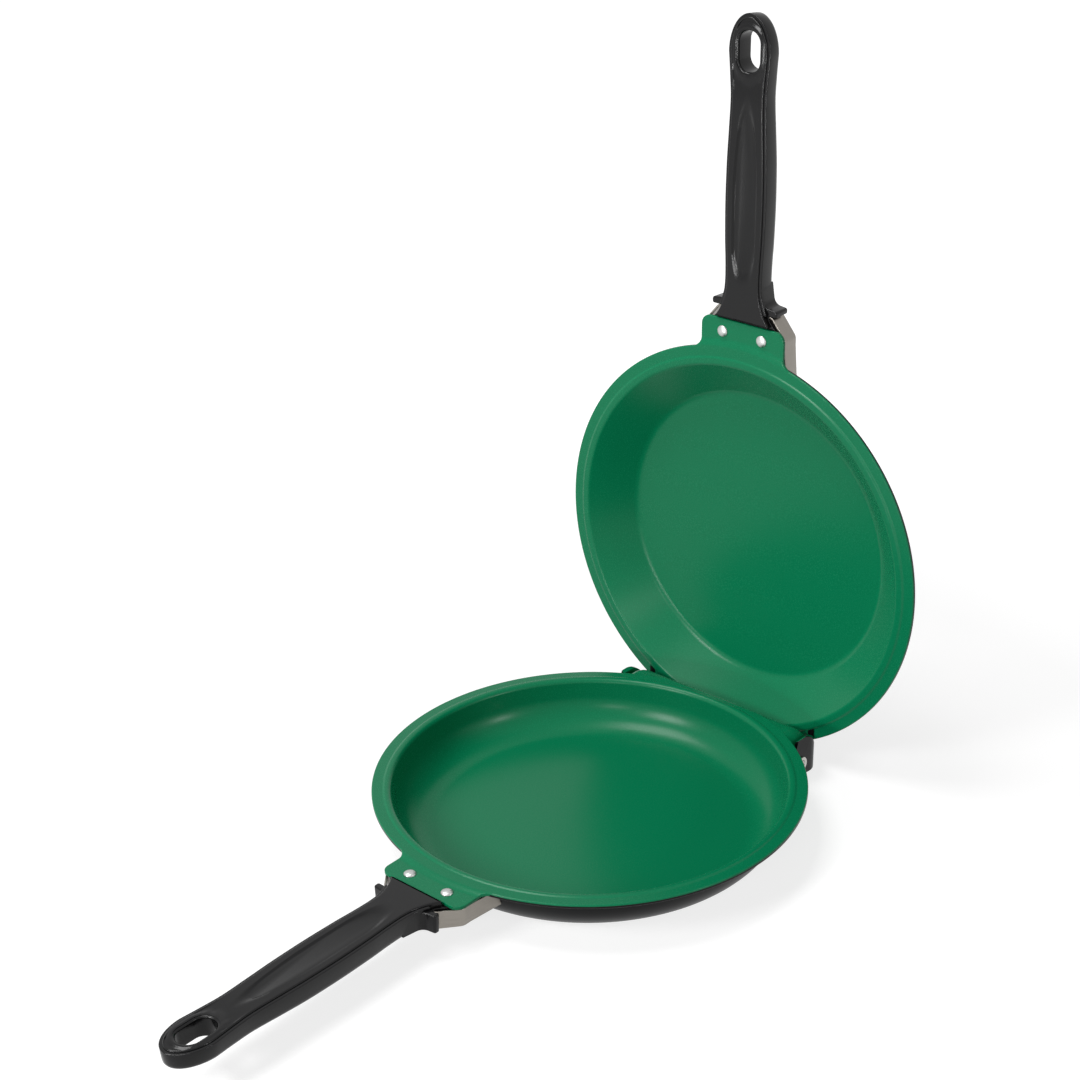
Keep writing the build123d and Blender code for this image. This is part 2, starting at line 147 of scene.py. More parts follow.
def through(knots: list[Point], at: float) -> float:
    """Read a smooth curve through knots, with no overshoot between them.

    Args:
        knots: pairs of position and value, in rising position.
        at: the position to read.

    Returns:
        The curve's value there.
    """
    if at <= knots[0][0]:
        return knots[0][1]
    if at >= knots[-1][0]:
        return knots[-1][1]
    slopes = [(b[1] - a[1]) / (b[0] - a[0]) for a, b in zip(knots, knots[1:])]
    tangents = [slopes[0]]
    for before, after in zip(slopes, slopes[1:]):
        same_way = before * after > 0
        tangents.append(2 * before * after / (before + after) if same_way else 0.0)
    tangents.append(slopes[-1])
    i = max(k for k in range(len(slopes)) if knots[k][0] <= at)
    span = knots[i + 1][0] - knots[i][0]
    t = (at - knots[i][0]) / span
    rise = knots[i + 1][1] - knots[i][1]
    start, end = tangents[i] * span, tangents[i + 1] * span
    return knots[i][1] + start * t + (3 * rise - 2 * start - end) * t**2 + (
        start + end - 2 * rise
    ) * t**3


def rounded(corners: list[Point], radii: list[float], step: float = ARC_STEP) -> list[Point]:
    """Round the inner corners of an open path with arcs.

    Args:
        corners: the path's points.
        radii: a radius for each point but the first and last; 0 keeps the corner sharp.
        step: the turn of each arc's pieces, in degrees.

    Returns:
        The rounded path's points.
    """
    path = [corners[0]]
    for before, corner, after, radius in zip(corners, corners[1:], corners[2:], radii):
        here = Vector(corner)
        into = (Vector(before) - here).normalized()
        out = (Vector(after) - here).normalized()
        turn = math.pi - into.angle(out)
        if radius <= 0 or turn < STRAIGHT:
            path.append(corner)
            continue
        reach = radius * math.tan(turn / 2)
        centre = here + (into + out).normalized() * radius / math.cos(turn / 2)
        start = here + into * reach - centre
        end = here + out * reach - centre
        way = 1 if start.x * end.y > start.y * end.x else -1
        pieces = max(2, math.ceil(math.degrees(turn) / step))
        for k in range(pieces + 1):
            angle = way * turn * k / pieces
            spun = Matrix.Rotation(angle, 2) @ start
            path.append((centre.x + spun.x, centre.y + spun.y))
    path.append(corners[-1])
    return path


def inset_loop(loop: list[Point], inset: float) -> list[Point]:
    """Draw a counter-clockwise closed outline in by an inset, square to its sides.

    Args:
        loop: the outline's points.
        inset: how far to draw it in; a negative inset draws it out.

    Returns:
        The new outline's points, one for each old one.
    """
    if inset == 0:
        return list(loop)
    moved = []
    for before, here, after in zip([loop[-1], *loop[:-1]], loop, [*loop[1:], loop[0]]):
        first = (Vector(here) - Vector(before)).normalized()
        second = (Vector(after) - Vector(here)).normalized()
        normal = Vector((-first.y - second.y, first.x + second.x)).normalized()
        lean = max(LEAST_LEAN, normal.dot(Vector((-first.y, first.x))))
        moved.append((here[0] + normal.x * inset / lean, here[1] + normal.y * inset / lean))
    return moved


def box_corners(low: Point, high: Point) -> list[Point]:
    """Return a rectangle's corners, counter-clockwise."""
    return [low, (high[0], low[1]), high, (low[0], high[1])]


def closed_rounded(
    corners: list[Point], radii: list[float], step: float = ARC_STEP
) -> list[Point]:
    """Round every corner of a closed outline, with a radius for each corner."""
    ring = [corners[-1], *corners, corners[0]]
    return rounded(ring, radii, step)[1:-1]


# ---------------------------------------------------------------- shapes


@dataclass
class Shape:
    """A closed surface in millimetres, with a finish number on each face."""

    points: list[Vector] = field(default_factory=list)
    faces: list[tuple[int, ...]] = field(default_factory=list)
    finishes: list[int] = field(default_factory=list)
    strip: list[Point] = field(default_factory=list)

    def add_face(self, corners: tuple[int, ...], finish: int = 0) -> None:
        """Add one face."""
        self.faces.append(corners)
        self.finishes.append(finish)

    def skin(
        self,
        rings: list[list[Vector]],
        along: list[int] | None = None,
        around: list[int] | None = None,
        round_trip: bool = False,
        capped: bool = True,
    ) -> "Shape":
        """Join closed rings of equal length into a surface.

        Args:
            rings: the rings, in order along the surface.
            along: the finish of each band between two rings.
            around: the finish of each stretch round a ring, in place of along.
            round_trip: whether the last ring joins the first one.
            capped: whether the two end rings are closed with a face.

        Returns:
            This shape.
        """
        first, count, total = len(self.points), len(rings[0]), len(rings)
        bands = total if round_trip else total - 1
        along = along or [0] * bands
        for ring in rings:
            self.points.extend(ring)
        for i in range(bands):
            following = first + (i + 1) % total * count
            for k in range(count):
                n = (k + 1) % count
                here = first + i * count
                self.add_face(
                    (here + k, here + n, following + n, following + k),
                    around[k] if around else along[i],
                )
        if capped and not round_trip:
            last = first + (total - 1) * count
            self.add_face(tuple(first + k for k in reversed(range(count))), along[0])
            self.add_face(tuple(last + k for k in range(count)), along[-1])
        return self

    def stack(self, outline: list[Point], levels: list[Point], capped: bool = True) -> "Shape":
        """Build a solid from an outline, drawn in by an inset at each level's height.

        Args:
            outline: the outline before any inset, counter-clockwise.
            levels: pairs of inset and height, in rising order.
            capped: whether the bottom and the top are closed with a face.

        Returns:
            This shape.
        """
        rings = [
            [Vector((x, y, height)) for x, y in inset_loop(outline, inset)]
            for inset, height in levels
        ]
        return self.skin(rings, capped=capped)

    def turn(self, section: list[Point], segments: int) -> "Shape":
        """Turn a closed section, clear of the axis, round the z axis.

        Args:
            section: the section's points of radius and height.
            segments: how many pieces make the full turn.

        Returns:
            This shape.
        """
        rings = []
        for k in range(segments):
            spin = Matrix.Rotation(math.tau * k / segments, 3, "Z")
            rings.append([spin @ Vector((radius, 0, height)) for radius, height in section])
        return self.skin(rings, round_trip=True)

    def lathe(self, profile: list[Point], finishes: list[int], segments: int) -> "Shape":
        """Turn a profile of radius and height round the z axis; both its ends lie on the axis.

        Args:
            profile: the section's points.
            finishes: the finish of each stretch between two points.
            segments: how many pieces make the full turn.

        Returns:
            This shape.
        """
        first = len(self.points)
        self.points.append(Vector((0, 0, profile[0][1])))
        for radius, height in profile[1:-1]:
            for k in range(segments):
                angle = math.tau * k / segments
                x, y = radius * math.cos(angle), radius * math.sin(angle)
                self.points.append(Vector((x, y, height)))
        self.points.append(Vector((0, 0, profile[-1][1])))
        start, last = first + 1, len(self.points) - 1
        end = last - segments
        for k in range(segments):
            n = (k + 1) % segments
            self.add_face((first, start + n, start + k), finishes[0])
            for i in range(len(profile) - 3):
                a, b = start + i * segments + k, start + i * segments + n
                self.add_face((a, b, b + segments, a + segments), finishes[i + 1])
            self.add_face((end + k, end + n, last), finishes[-1])
        return self

    def to_object(self, name: str, place: Matrix, sharp: float = SHARP) -> bpy.types.Object:
        """Make a Blender object of the shape, with its place in its mesh.

        Args:
            name: the object's name.
            place: the frame that the shape was drawn in.
            sharp: edges that turn by more than this many degrees are sharp.

        Returns:
            The new object, in the scene.
        """
        mesh = bpy.data.meshes.new(name)
        mesh.from_pydata([place @ (p * MILLIMETRE) for p in self.points], [], self.faces)
        mesh.polygons.foreach_set("material_index", self.finishes)
        if self.strip:
            layer = mesh.uv_layers.new(name="strip")
            for loop in mesh.loops:
                layer.uv[loop.index].vector = self.strip[loop.vertex_index]
        obj = bpy.data.objects.new(name, mesh)
        bpy.context.scene.collection.objects.link(obj)
        finish_mesh(obj, sharp)
        return obj


def prism(ring: list[Vector], along: Vector, around: list[int] | None = None) -> Shape:
    """Build a straight prism from a ring, with a finish for each of its sides."""
    return Shape().skin([ring, [point + along for point in ring]], around=around)


def side_prism(outline: list[Point], half_width: float, finish: int = 0) -> Shape:
    """Build a prism right across a half.

    Args:
        outline: the prism's side view, as y and z.
        half_width: how far it reaches to each side.
        finish: the finish of all its faces.

    Returns:
        The prism.
    """
    ring = [Vector((-half_width, y, z)) for y, z in outline]
    along = Vector((2 * half_width, 0, 0))
    shape = prism(ring, along)
    shape.finishes = [finish] * len(shape.faces)
    return shape


def cylinder(radius: float, low: float, high: float, segments: int = CUT_SEGMENTS) -> Shape:
    """Build an upright cylinder on the z axis.

    Args:
        radius: its radius.
        low: the height of its foot.
        high: the height of its top.
        segments: how many pieces make the full turn.

    Returns:
        The cylinder.
    """
    ring = [
        Vector((radius * math.cos(t), radius * math.sin(t), low))
        for t in (math.tau * k / segments for k in range(segments))
    ]
    return prism(ring, Vector((0, 0, high - low)))


def edge_levels(inset: float, height: float, radius: float, way: int) -> list[Point]:
    """Return the levels of a rounded edge.

    Args:
        inset: how far the side below or above the edge is drawn in.
        height: the height of the face that the edge leads to.
        radius: the edge's radius.
        way: 1 for an edge at the top, listed upwards, or -1 for one at the bottom.

    Returns:
        Pairs of inset and height, in rising order.
    """
    steps = 5
    turns = [math.pi / 2 * k / steps for k in range(steps + 1)]
    levels = [
        (inset + radius * (1 - math.cos(t)), height - way * radius * (1 - math.sin(t)))
        for t in turns
    ]
    return levels if way > 0 else levels[::-1]


def finish_mesh(obj: bpy.types.Object, sharp: float) -> None:
    """Merge doubles, point the normals outwards and shade smooth with sharp edges by angle.

    Args:
        obj: the object whose mesh is finished.
        sharp: edges that turn by more than this many degrees are sharp.
    """
    tidy = bmesh.new()
    tidy.from_mesh(obj.data)
    bmesh.ops.remove_doubles(tidy, verts=tidy.verts, dist=SAME_POINT)
    bmesh.ops.dissolve_degenerate(tidy, edges=tidy.edges, dist=NO_EDGE)
    bmesh.ops.recalc_face_normals(tidy, faces=tidy.faces)
    tidy.to_mesh(obj.data)
    tidy.free()
    obj.data.polygons.foreach_set("use_smooth", [True] * len(obj.data.polygons))
    obj.data.set_sharp_from_angle(angle=math.radians(sharp))


def carve(obj: bpy.types.Object, tool: bpy.types.Object, way: Join, sharp: float = SHARP) -> None:
    """Join a tool to an object, or cut it away, and remove the tool.

    Args:
        obj: the object that changes.
        tool: the other solid, which is used up.
        way: what the tool does.
        sharp: the angle of the sharp edges afterwards, in degrees.
    """
    change = obj.modifiers.new("carve", "BOOLEAN")
    change.operation = way.value
    change.solver = "EXACT"
    change.object = tool
    bake(obj)
    bpy.data.objects.remove(tool)
    finish_mesh(obj, sharp)


def bake(obj: bpy.types.Object) -> None:
    """Turn an object's modifiers into plain mesh.

    Args:
        obj: the object, which keeps its name and gets the new mesh.
    """
    graph = bpy.context.evaluated_depsgraph_get()
    mesh = bpy.data.meshes.new_from_object(obj.evaluated_get(graph))
    obj.modifiers.clear()
    old = obj.data
    obj.data = mesh
    bpy.data.meshes.remove(old)


def wear(obj: bpy.types.Object, *materials: bpy.types.Material) -> bpy.types.Object:
    """Give an object its material slots.

    Args:
        obj: the object to dress.
        *materials: the materials, in the order of the slots.

    Returns:
        The same object.
    """
    for material in materials:
        obj.data.materials.append(material)
    return obj


def hand_over(obj: bpy.types.Object, body: str, slot: str, *nodes: str) -> None:
    """Put a finished piece on its body, in place of its CAD nodes, and report it.

    Args:
        obj: the finished piece.
        body: the body that it moves with.
        slot: not used.
        *nodes: the CAD nodes that it stands in for.
    """
    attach(obj, body)
    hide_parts(*nodes)
    log.info("%s: %d faces in place of %s", obj.name, len(obj.data.polygons), ", ".join(nodes))


# ---------------------------------------------------------------- finishes


def new_material(name: str) -> tuple[bpy.types.Material, bpy.types.NodeTree]:
    """Make a node material that holds no nodes yet.

    Args:
        name: the material's name.

    Returns:
        The material and its node tree.
    """
    material = bpy.data.materials.new(name)
    material.use_nodes = True
    material.node_tree.nodes.clear()
    return material, material.node_tree


def close_material(tree: bpy.types.NodeTree, shader: bpy.types.Node) -> None:
    """Link a shader to the material's output."""
    add_node(tree, "ShaderNodeOutputMaterial", {"Surface": shader.outputs[0]})


@dataclass(frozen=True)
class SprayedCoating:
    """Sprayed non-stick coating on pressed aluminium.

    A baked film: deep even colour, a satin sheen and a faint orange peel with fine speckle. The
    speckle is drawn coarser than the real one, which would be too fine to show.
    """

    name: str
    colour: str
    deep_colour: str
    roughness: float
    specular: float
    peel_mm: float = 1.4
    peel_height_mm: float = 0.012
    speckle_mm: float = 0.5
    speckle_low: float = 0.35
    speckle_high: float = 0.65
    gloss_spread: float = 0.03

    def build(self) -> bpy.types.Material:
        """Build the coating's material.

        Returns:
            The material.
        """
        material, tree = new_material(self.name)
        place = add_node(tree, "ShaderNodeTexCoord").outputs["Object"]
        cloud = add_node(
            tree,
            "ShaderNodeTexNoise",
            {"Vector": place, "Scale": 1 / (self.speckle_mm * MILLIMETRE), "Detail": 3.0},
        )
        spread = add_node(
            tree,
            "ShaderNodeMapRange",
            {
                "Value": cloud.outputs["Fac"],
                "From Min": self.speckle_low,
                "From Max": self.speckle_high,
            },
        )
        tint = add_node(
            tree,
            "ShaderNodeMix",
            {
                MIX_SHARE: spread.outputs["Result"],
                MIX_FROM: linear(self.deep_colour),
                MIX_TO: linear(self.colour),
            },
            data_type="RGBA",
        )
        gloss = add_node(
            tree,
            "ShaderNodeMapRange",
            {
                "Value": cloud.outputs["Fac"],
                **NOISE_RANGE,
                "To Min": self.roughness - self.gloss_spread,
                "To Max": self.roughness + self.gloss_spread,
            },
        )
        peel = add_node(
            tree,
            "ShaderNodeTexNoise",
            {"Vector": place, "Scale": 1 / (self.peel_mm * MILLIMETRE), "Detail": 2.0},
        )
        bump = add_node(
            tree,
            "ShaderNodeBump",
            {
                "Height": peel.outputs["Fac"],
                "Distance": self.peel_height_mm * MILLIMETRE,
                "Strength": 1.0,
            },
        )
        shader = add_node(
            tree,
            "ShaderNodeBsdfPrincipled",
            {
                "Base Color": tint.outputs[MIX_COLOUR],
                "Roughness": gloss.outputs["Result"],
                "Specular IOR Level": self.specular,
                "Normal": bump.outputs["Normal"],
            },
        )
        close_material(tree, shader)
        return material


@dataclass(frozen=True)
class MouldedPhenolic:
    """Compression moulded black phenolic.

    Hard and dense: near black, glossy, with a very slight ripple that breaks up reflections. The
    grain is drawn coarser than the real one, which would be too fine to show.
    """

    name: str
    colour: str = "0B0B0C"
    worn_colour: str = "131314"
    roughness: float = 0.19
    specular: float = 0.22
    flow_mm: float = 9.0
    flow_height_mm: float = 0.03
    grain_mm: float = 0.35
    grain_height_mm: float = 0.004
    gloss_spread: float = 0.04

    def build(self) -> bpy.types.Material:
        """Build the moulded plastic's material.

        Returns:
            The material.
        """
        material, tree = new_material(self.name)
        place = add_node(tree, "ShaderNodeTexCoord").outputs["Object"]
        flow = add_node(
            tree,
            "ShaderNodeTexNoise",
            {"Vector": place, "Scale": 1 / (self.flow_mm * MILLIMETRE), "Detail": 1.0},
        )
        grain = add_node(
            tree,
            "ShaderNodeTexNoise",
            {"Vector": place, "Scale": 1 / (self.grain_mm * MILLIMETRE), "Detail": 2.0},
        )
        tint = add_node(
            tree,
            "ShaderNodeMix",
            {
                MIX_SHARE: grain.outputs["Fac"],
                MIX_FROM: linear(self.colour),
                MIX_TO: linear(self.worn_colour),
            },
            data_type="RGBA",
        )
        gloss = add_node(
            tree,
            "ShaderNodeMapRange",
            {
                "Value": grain.outputs["Fac"],
                **NOISE_RANGE,
                "To Min": self.roughness - self.gloss_spread,
                "To Max": self.roughness + self.gloss_spread,
            },
        )
        ripple = add_node(
            tree,
            "ShaderNodeBump",
            {
                "Height": flow.outputs["Fac"],
                "Distance": self.flow_height_mm * MILLIMETRE,
                "Strength": 1.0,
            },
        )
        texture = add_node(
            tree,
            "ShaderNodeBump",
            {
                "Height": grain.outputs["Fac"],
                "Distance": self.grain_height_mm * MILLIMETRE,
                "Strength": 1.0,
                "Normal": ripple.outputs["Normal"],
            },
        )
        shader = add_node(
            tree,
            "ShaderNodeBsdfPrincipled",
            {
                "Base Color": tint.outputs[MIX_COLOUR],
                "Roughness": gloss.outputs["Result"],
                "Specular IOR Level": self.specular,
                "Normal": texture.outputs["Normal"],
            },
        )
        close_material(tree, shader)
        return material


@dataclass(frozen=True)
class Metal:
    """Bare metal: brushed along its strip, or turned, stamped and plated.

    Brushing draws long fine lines with the strip; a plated or turned piece has faint mottling.
    The lines are drawn coarser than real ones, which would be too fine to show.
    """

    name: str
    colour: str
    dark_colour: str
    roughness: float
    line_mm: float = 0.25
    line_height_mm: float = 0.006
    line_stretch: float = 0.02
    gloss_spread: float = 0.06
    brushed: bool = False

    def build(self) -> bpy.types.Material:
        """Build the metal's material.

        Returns:
            The material.
        """
        material, tree = new_material(self.name)
        coordinates = add_node(tree, "ShaderNodeTexCoord")
        place = coordinates.outputs["UV" if self.brushed else "Object"]
        unit = 1.0 if self.brushed else MILLIMETRE
        squeeze = self.line_stretch if self.brushed else 1.0
        along = add_node(
            tree,
            "ShaderNodeMapping",
            {"Vector": place, "Scale": (squeeze, 1.0, 1.0)},
        )
        lines = add_node(
            tree,
            "ShaderNodeTexNoise",
            {
                "Vector": along.outputs["Vector"],
                "Scale": 1 / (self.line_mm * unit),
                "Detail": 4.0,
                "Roughness": 0.6,
            },
        )
        tint = add_node(
            tree,
            "ShaderNodeMix",
            {
                MIX_SHARE: lines.outputs["Fac"],
                MIX_FROM: linear(self.dark_colour),
                MIX_TO: linear(self.colour),
            },
            data_type="RGBA",
        )
        gloss = add_node(
            tree,
            "ShaderNodeMapRange",
            {
                "Value": lines.outputs["Fac"],
                **NOISE_RANGE,
                "To Min": self.roughness - self.gloss_spread,
                "To Max": self.roughness + self.gloss_spread,
            },
        )
        bump = add_node(
            tree,
            "ShaderNodeBump",
            {
                "Height": lines.outputs["Fac"],
                "Distance": self.line_height_mm * MILLIMETRE,
                "Strength": 1.0,
            },
        )
        shader = add_node(
            tree,
            "ShaderNodeBsdfPrincipled",
            {
                "Base Color": tint.outputs[MIX_COLOUR],
                "Metallic": 1.0,
                "Roughness": gloss.outputs["Result"],
                "Normal": bump.outputs["Normal"],
            },
        )
        close_material(tree, shader)
        return material


@dataclass
class Finishes:
    """Every finish of the pan, built once and shared by its pieces."""

    inside: bpy.types.Material
    outside: bpy.types.Material
    phenolic: bpy.types.Material
    steel_strip: bpy.types.Material
    rivet_aluminium: bpy.types.Material
    rivet_steel: bpy.types.Material
    washer_steel: bpy.types.Material
    screw_steel: bpy.types.Material
    brass: bpy.types.Material

    @classmethod
    def build(cls) -> "Finishes":
        """Build the materials.

        Returns:
            All of them, for the pan's pieces to share.
        """
        return cls(
            # Ceramic particles in a baked film: a deep satin green with a soft sheen.
            inside=SprayedCoating(
                "sprayed_green_ceramic", "04724B", "046A45", roughness=0.26, specular=0.16
            ).build(),
            # A thicker soot-black film on the outside: duller, with broad weak reflections.
            outside=SprayedCoating(
                "sprayed_black_nonstick", "0D0E0F", "0A0B0C", roughness=0.34, specular=0.13
            ).build(),
            # Polished in the mould: crisp highlights on near black.
            phenolic=MouldedPhenolic("moulded_black_phenolic").build(),
            # Strip brushed along its length: a warm grey whose highlights smear across it.
            steel_strip=Metal(
                "brushed_stainless_strip", "96918A", "76726B", roughness=0.34, brushed=True
            ).build(),
            # Soft aluminium headed cold: pale, with a slightly matt bloom.
            rivet_aluminium=Metal(
                "headed_aluminium", "BFC0BE", "A9AAA8", roughness=0.36, line_mm=0.5
            ).build(),
            # Steel with bright nickel: a little warmer and shinier than the aluminium.
            rivet_steel=Metal(
                "nickel_plated_steel", "C9C7C2", "A9A7A2", roughness=0.27, line_mm=0.6
            ).build(),
            # Washers stamped from bare sheet: mid grey and mottled.
            washer_steel=Metal(
                "stamped_steel_washer", "8E8E8C", "6F6F6D", roughness=0.38, line_mm=0.7
            ).build(),
            # Steel with zinc plating: light, with a cool cast.
            screw_steel=Metal(
                "zinc_plated_steel", "C2C5C8", "A5A8AC", roughness=0.3, line_mm=0.5
            ).build(),
            # Brass turned on a lathe: yellow, with faint tool marks.
            brass=Metal("turned_brass", "D9B36C", "B98F48", roughness=0.3, line_mm=0.3).build(),
        )


# ---------------------------------------------------------------- frames of the two halves


@dataclass(frozen=True)
class Half:
    """One half of the pan: its name, its body, its frame and its dish's section."""

    name: str
    body: str
    place: Matrix
    depth: float
    wall_slope: float
    corner: float


@dataclass
class PanFrame:
    """Where the two halves lie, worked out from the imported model."""

    mating_gap: float = 0.4

    def halves(self) -> tuple[Half, Half]:
        """Work out the frame of each half.

        Returns:
            The lower and the upper half.
        """
        joint = frame["joints"][0]
        pivot = Vector(joint["pos_m"])
        opening = math.radians(joint["range_deg"][1] - joint["range_deg"][0])
        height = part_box("lower_pan")[1].z
        resting = Matrix.Translation((0, 0, height))
        closed = Matrix.Translation((0, 0, height + self.mating_gap * MILLIMETRE)) @ (
            Matrix.Rotation(math.pi, 4, "Y")
        )
        swing = (
            Matrix.Translation(pivot)
            @ Matrix.Rotation(-opening, 4, "X")
            @ Matrix.Translation(-pivot)
        )
        return (
            Half("lower", LOWER_BODY, resting, depth=28.5, wall_slope=80.0, corner=22.0),
            Half("upper", UPPER_BODY, swing @ closed, depth=21.5, wall_slope=43.0, corner=8.0),
        )


# ---------------------------------------------------------------- pans


@dataclass
class Dish:
    """A round pressed dish with a rolled mouth and a flat rim."""

    half: Half
    rim_radius: float = 125.0
    sheet: float = 2.5
    mouth_radius: float = 113.8
    mouth_rounding: float = 3.2
    bead_radius: float = 117.5
    bead_height: float = 0.6
    bead_rounding: float = 1.5
    rim_edge: float = 0.7
    cove: float = 5.5
    segments: int = 224
    inside_step: float = 5.0
    outside_step: float = 6.0
    floor_rings: int = 5

    def wall_radius(self, drop: float, skin: float) -> float:
        """Return the wall's radius at a drop below the rim, outside a skin."""
        slope = math.radians(self.half.wall_slope)
        return self.mouth_radius + skin / math.sin(slope) - drop / math.tan(slope)

    def profile(self) -> tuple[list[Point], list[int]]:
        """Draw the section from the middle of the cooking face out and back under the floor.

        Returns:
            The section's points and the finish of each stretch between them.
        """
        depth = self.half.depth
        height = depth + self.sheet
        under = self.bead_height + self.sheet
        floor_edge = self.wall_radius(depth, 0)
        inside = rounded(
            [
                (0, -depth),
                (floor_edge, -depth),
                (self.mouth_radius, 0),
                (self.bead_radius, 0),
                (self.bead_radius + 2 * self.bead_height, -self.bead_height),
                (self.rim_radius, -self.bead_height),
                (self.rim_radius, -under / 2),
            ],
            [
                self.half.corner,
                self.mouth_rounding,
                self.bead_rounding,
                self.bead_rounding,
                self.rim_edge,
            ],
            step=self.inside_step,
        )
        outside = rounded(
            [
                (self.rim_radius, -under / 2),
                (self.rim_radius, -under),
                (self.wall_radius(under, self.sheet), -under),
                (self.wall_radius(height, self.sheet), -height),
                (0, -height),
            ],
            [self.rim_edge, self.cove, self.half.corner + self.sheet],
            step=self.outside_step,
        )
        start = inside[1][0]
        floor = [(start * k / self.floor_rings, -depth) for k in range(self.floor_rings)]
        foot = outside[-2][0]
        base = [(foot * (1 - k / 2), -height) for k in range(1, 3)]
        points = floor + inside[1:] + outside[1:-1] + base
        finishes = []
        for i, (radius, height) in enumerate(points[:-1]):
            on_top = i < len(floor) + len(inside) - 2
            on_edge = radius >= self.rim_radius - self.rim_edge
            below = height <= -self.bead_height - self.rim_edge
            coat = Coat.INSIDE if on_top and not (on_edge and below) else Coat.OUTSIDE
            finishes.append(coat.value)
        return points, finishes

    def build(self) -> Shape:
        """Turn the section into the dish."""
        points, finishes = self.profile()
        return Shape().lathe(points, finishes, self.segments)

    def envelope(self, skin: float) -> Shape:
        """Build the space that the dish fills.

        Args:
            skin: how much further out it reaches than the dish.

        Returns:
            The space as a solid.
        """
        under = self.bead_height + self.sheet + skin
        foot = self.half.depth + self.sheet + skin
        rim = self.rim_radius + skin
        section = rounded(
            [
                (0, 0),
                (rim, 0),
                (rim, -under),
                (self.wall_radius(under, self.sheet + skin), -under),
                (self.wall_radius(foot, self.sheet + skin), -foot),
                (0, -foot),
            ],
            [0, 0, self.cove - skin, self.half.corner + self.sheet + skin],
        )
        return Shape().lathe(section, [0] * (len(section) - 1), CUT_SEGMENTS)


@dataclass
class Lug:
    """The flat front lug, a step below the rim, that the handle is riveted to."""

    rim_radius: float = 125.0
    half_width: float = 29.1
    reach: float = 141.0
    corner: float = 6.0
    flare: float = 4.0
    flare_depth: float = 0.6
    root: float = 118.5
    sheet: float = 2.0
    rim_drop: float = 0.58
    drop: float = 1.8
    bend_start: float = 124.6
    bend_end: float = 130.0
    edge: float = 0.45
    rows: int = 44
    columns: int = 40
    end_crowding: float = 1.6

    def width_at(self, reach: float) -> float:
        """Work out the lug's half width.

        Args:
            reach: the distance from the pan's middle.

        Returns:
            The half width there.
        """
        tangent = math.sqrt(self.rim_radius**2 - self.half_width**2)
        if reach > self.reach - self.corner:
            over = reach - self.reach + self.corner
            return self.half_width - self.corner + math.sqrt(max(0, self.corner**2 - over**2))
        flare = max(0.0, 1 - (reach - tangent) / self.flare)
        return self.half_width + self.flare * flare**2 * self.flare_depth

    def top_at(self, x: float, reach: float) -> float:
        """Return the height of the lug's top face."""
        radius = math.hypot(x, reach)
        return -self.rim_drop - (self.drop - self.rim_drop) * smooth_step(
            radius, self.bend_start, self.bend_end
        )

    def build(self) -> Shape:
        """Build the lug as cross-sections from its root under the rim out to its end.

        Returns:
            The lug, still apart from the pan.
        """
        rings = []
        span = self.reach - self.root
        for row in range(self.rows + 1):
            share = row / self.rows
            reach = self.root + span * (1 - (1 - share) ** self.end_crowding)
            half = self.width_at(reach)
            tip = min(1.0, (self.reach - reach) / self.edge)
            lip = self.edge * (1 - math.sqrt(max(0.0, 1 - (1 - tip) ** 2)))
            places = [2 * k / self.columns - 1 for k in range(self.columns + 1)]
            xs = [half * math.sin(math.pi / 2 * place) for place in places]
            top, bottom = [], []
            for x in xs:
                near = min(1.0, (half - abs(x)) / self.edge)
                drop = max(lip, self.edge * (1 - math.sqrt(max(0.0, 1 - (1 - near) ** 2))))
                top.append(Vector((x, -reach, self.top_at(x, reach) - drop)))
                bottom.append(Vector((x, -reach, self.top_at(x, reach) - self.sheet + drop)))
            rings.append(top + bottom[::-1])
        return Shape().skin(rings, [Coat.INSIDE.value] * self.rows)


@dataclass
class Hood:
    """The sizes of the two hinge hoods, which both pans share."""

    pivot_reach: float = 114.0
    drop: float = 19.0
    mating_gap: float = 0.4
    sheet: float = 2.0
    rim_drop: float = 0.6
    rim_radius: float = 125.0
    root_radius: float = 118.3
    flange_under: float = 3.1
    ear_radius: float = 8.4
    front: float = 95.6
    sliver: float = 0.02
    far: float = 160.0
    arc_step: float = 7.0

    def section(self, half_width: float, top: float, foot: float, bend: float) -> list[Point]:
        """Draw one side of a hood's sheet across the pan, from foot to foot."""
        corners = [(-half_width, foot), (-half_width, top), (half_width, top), (half_width, foot)]
        return rounded(corners, [bend, bend])

    def arc(self, radius: float, start: float, turn: float, drop: float) -> list[Point]:
        """Draw an arc round the pivot, seen from the side.

        Args:
            radius: the arc's radius.
            start: the angle of its first point, in degrees from +y.
            turn: how far it goes round, in degrees.
            drop: the pivot's height, with its sign.

        Returns:
            The arc's points, as y and z.
        """
        steps = max(2, math.ceil(abs(turn) / self.arc_step))
        angles = [math.radians(start + turn * k / steps) for k in range(steps + 1)]
        return [
            (self.pivot_reach + radius * math.cos(a), drop + radius * math.sin(a)) for a in angles
        ]


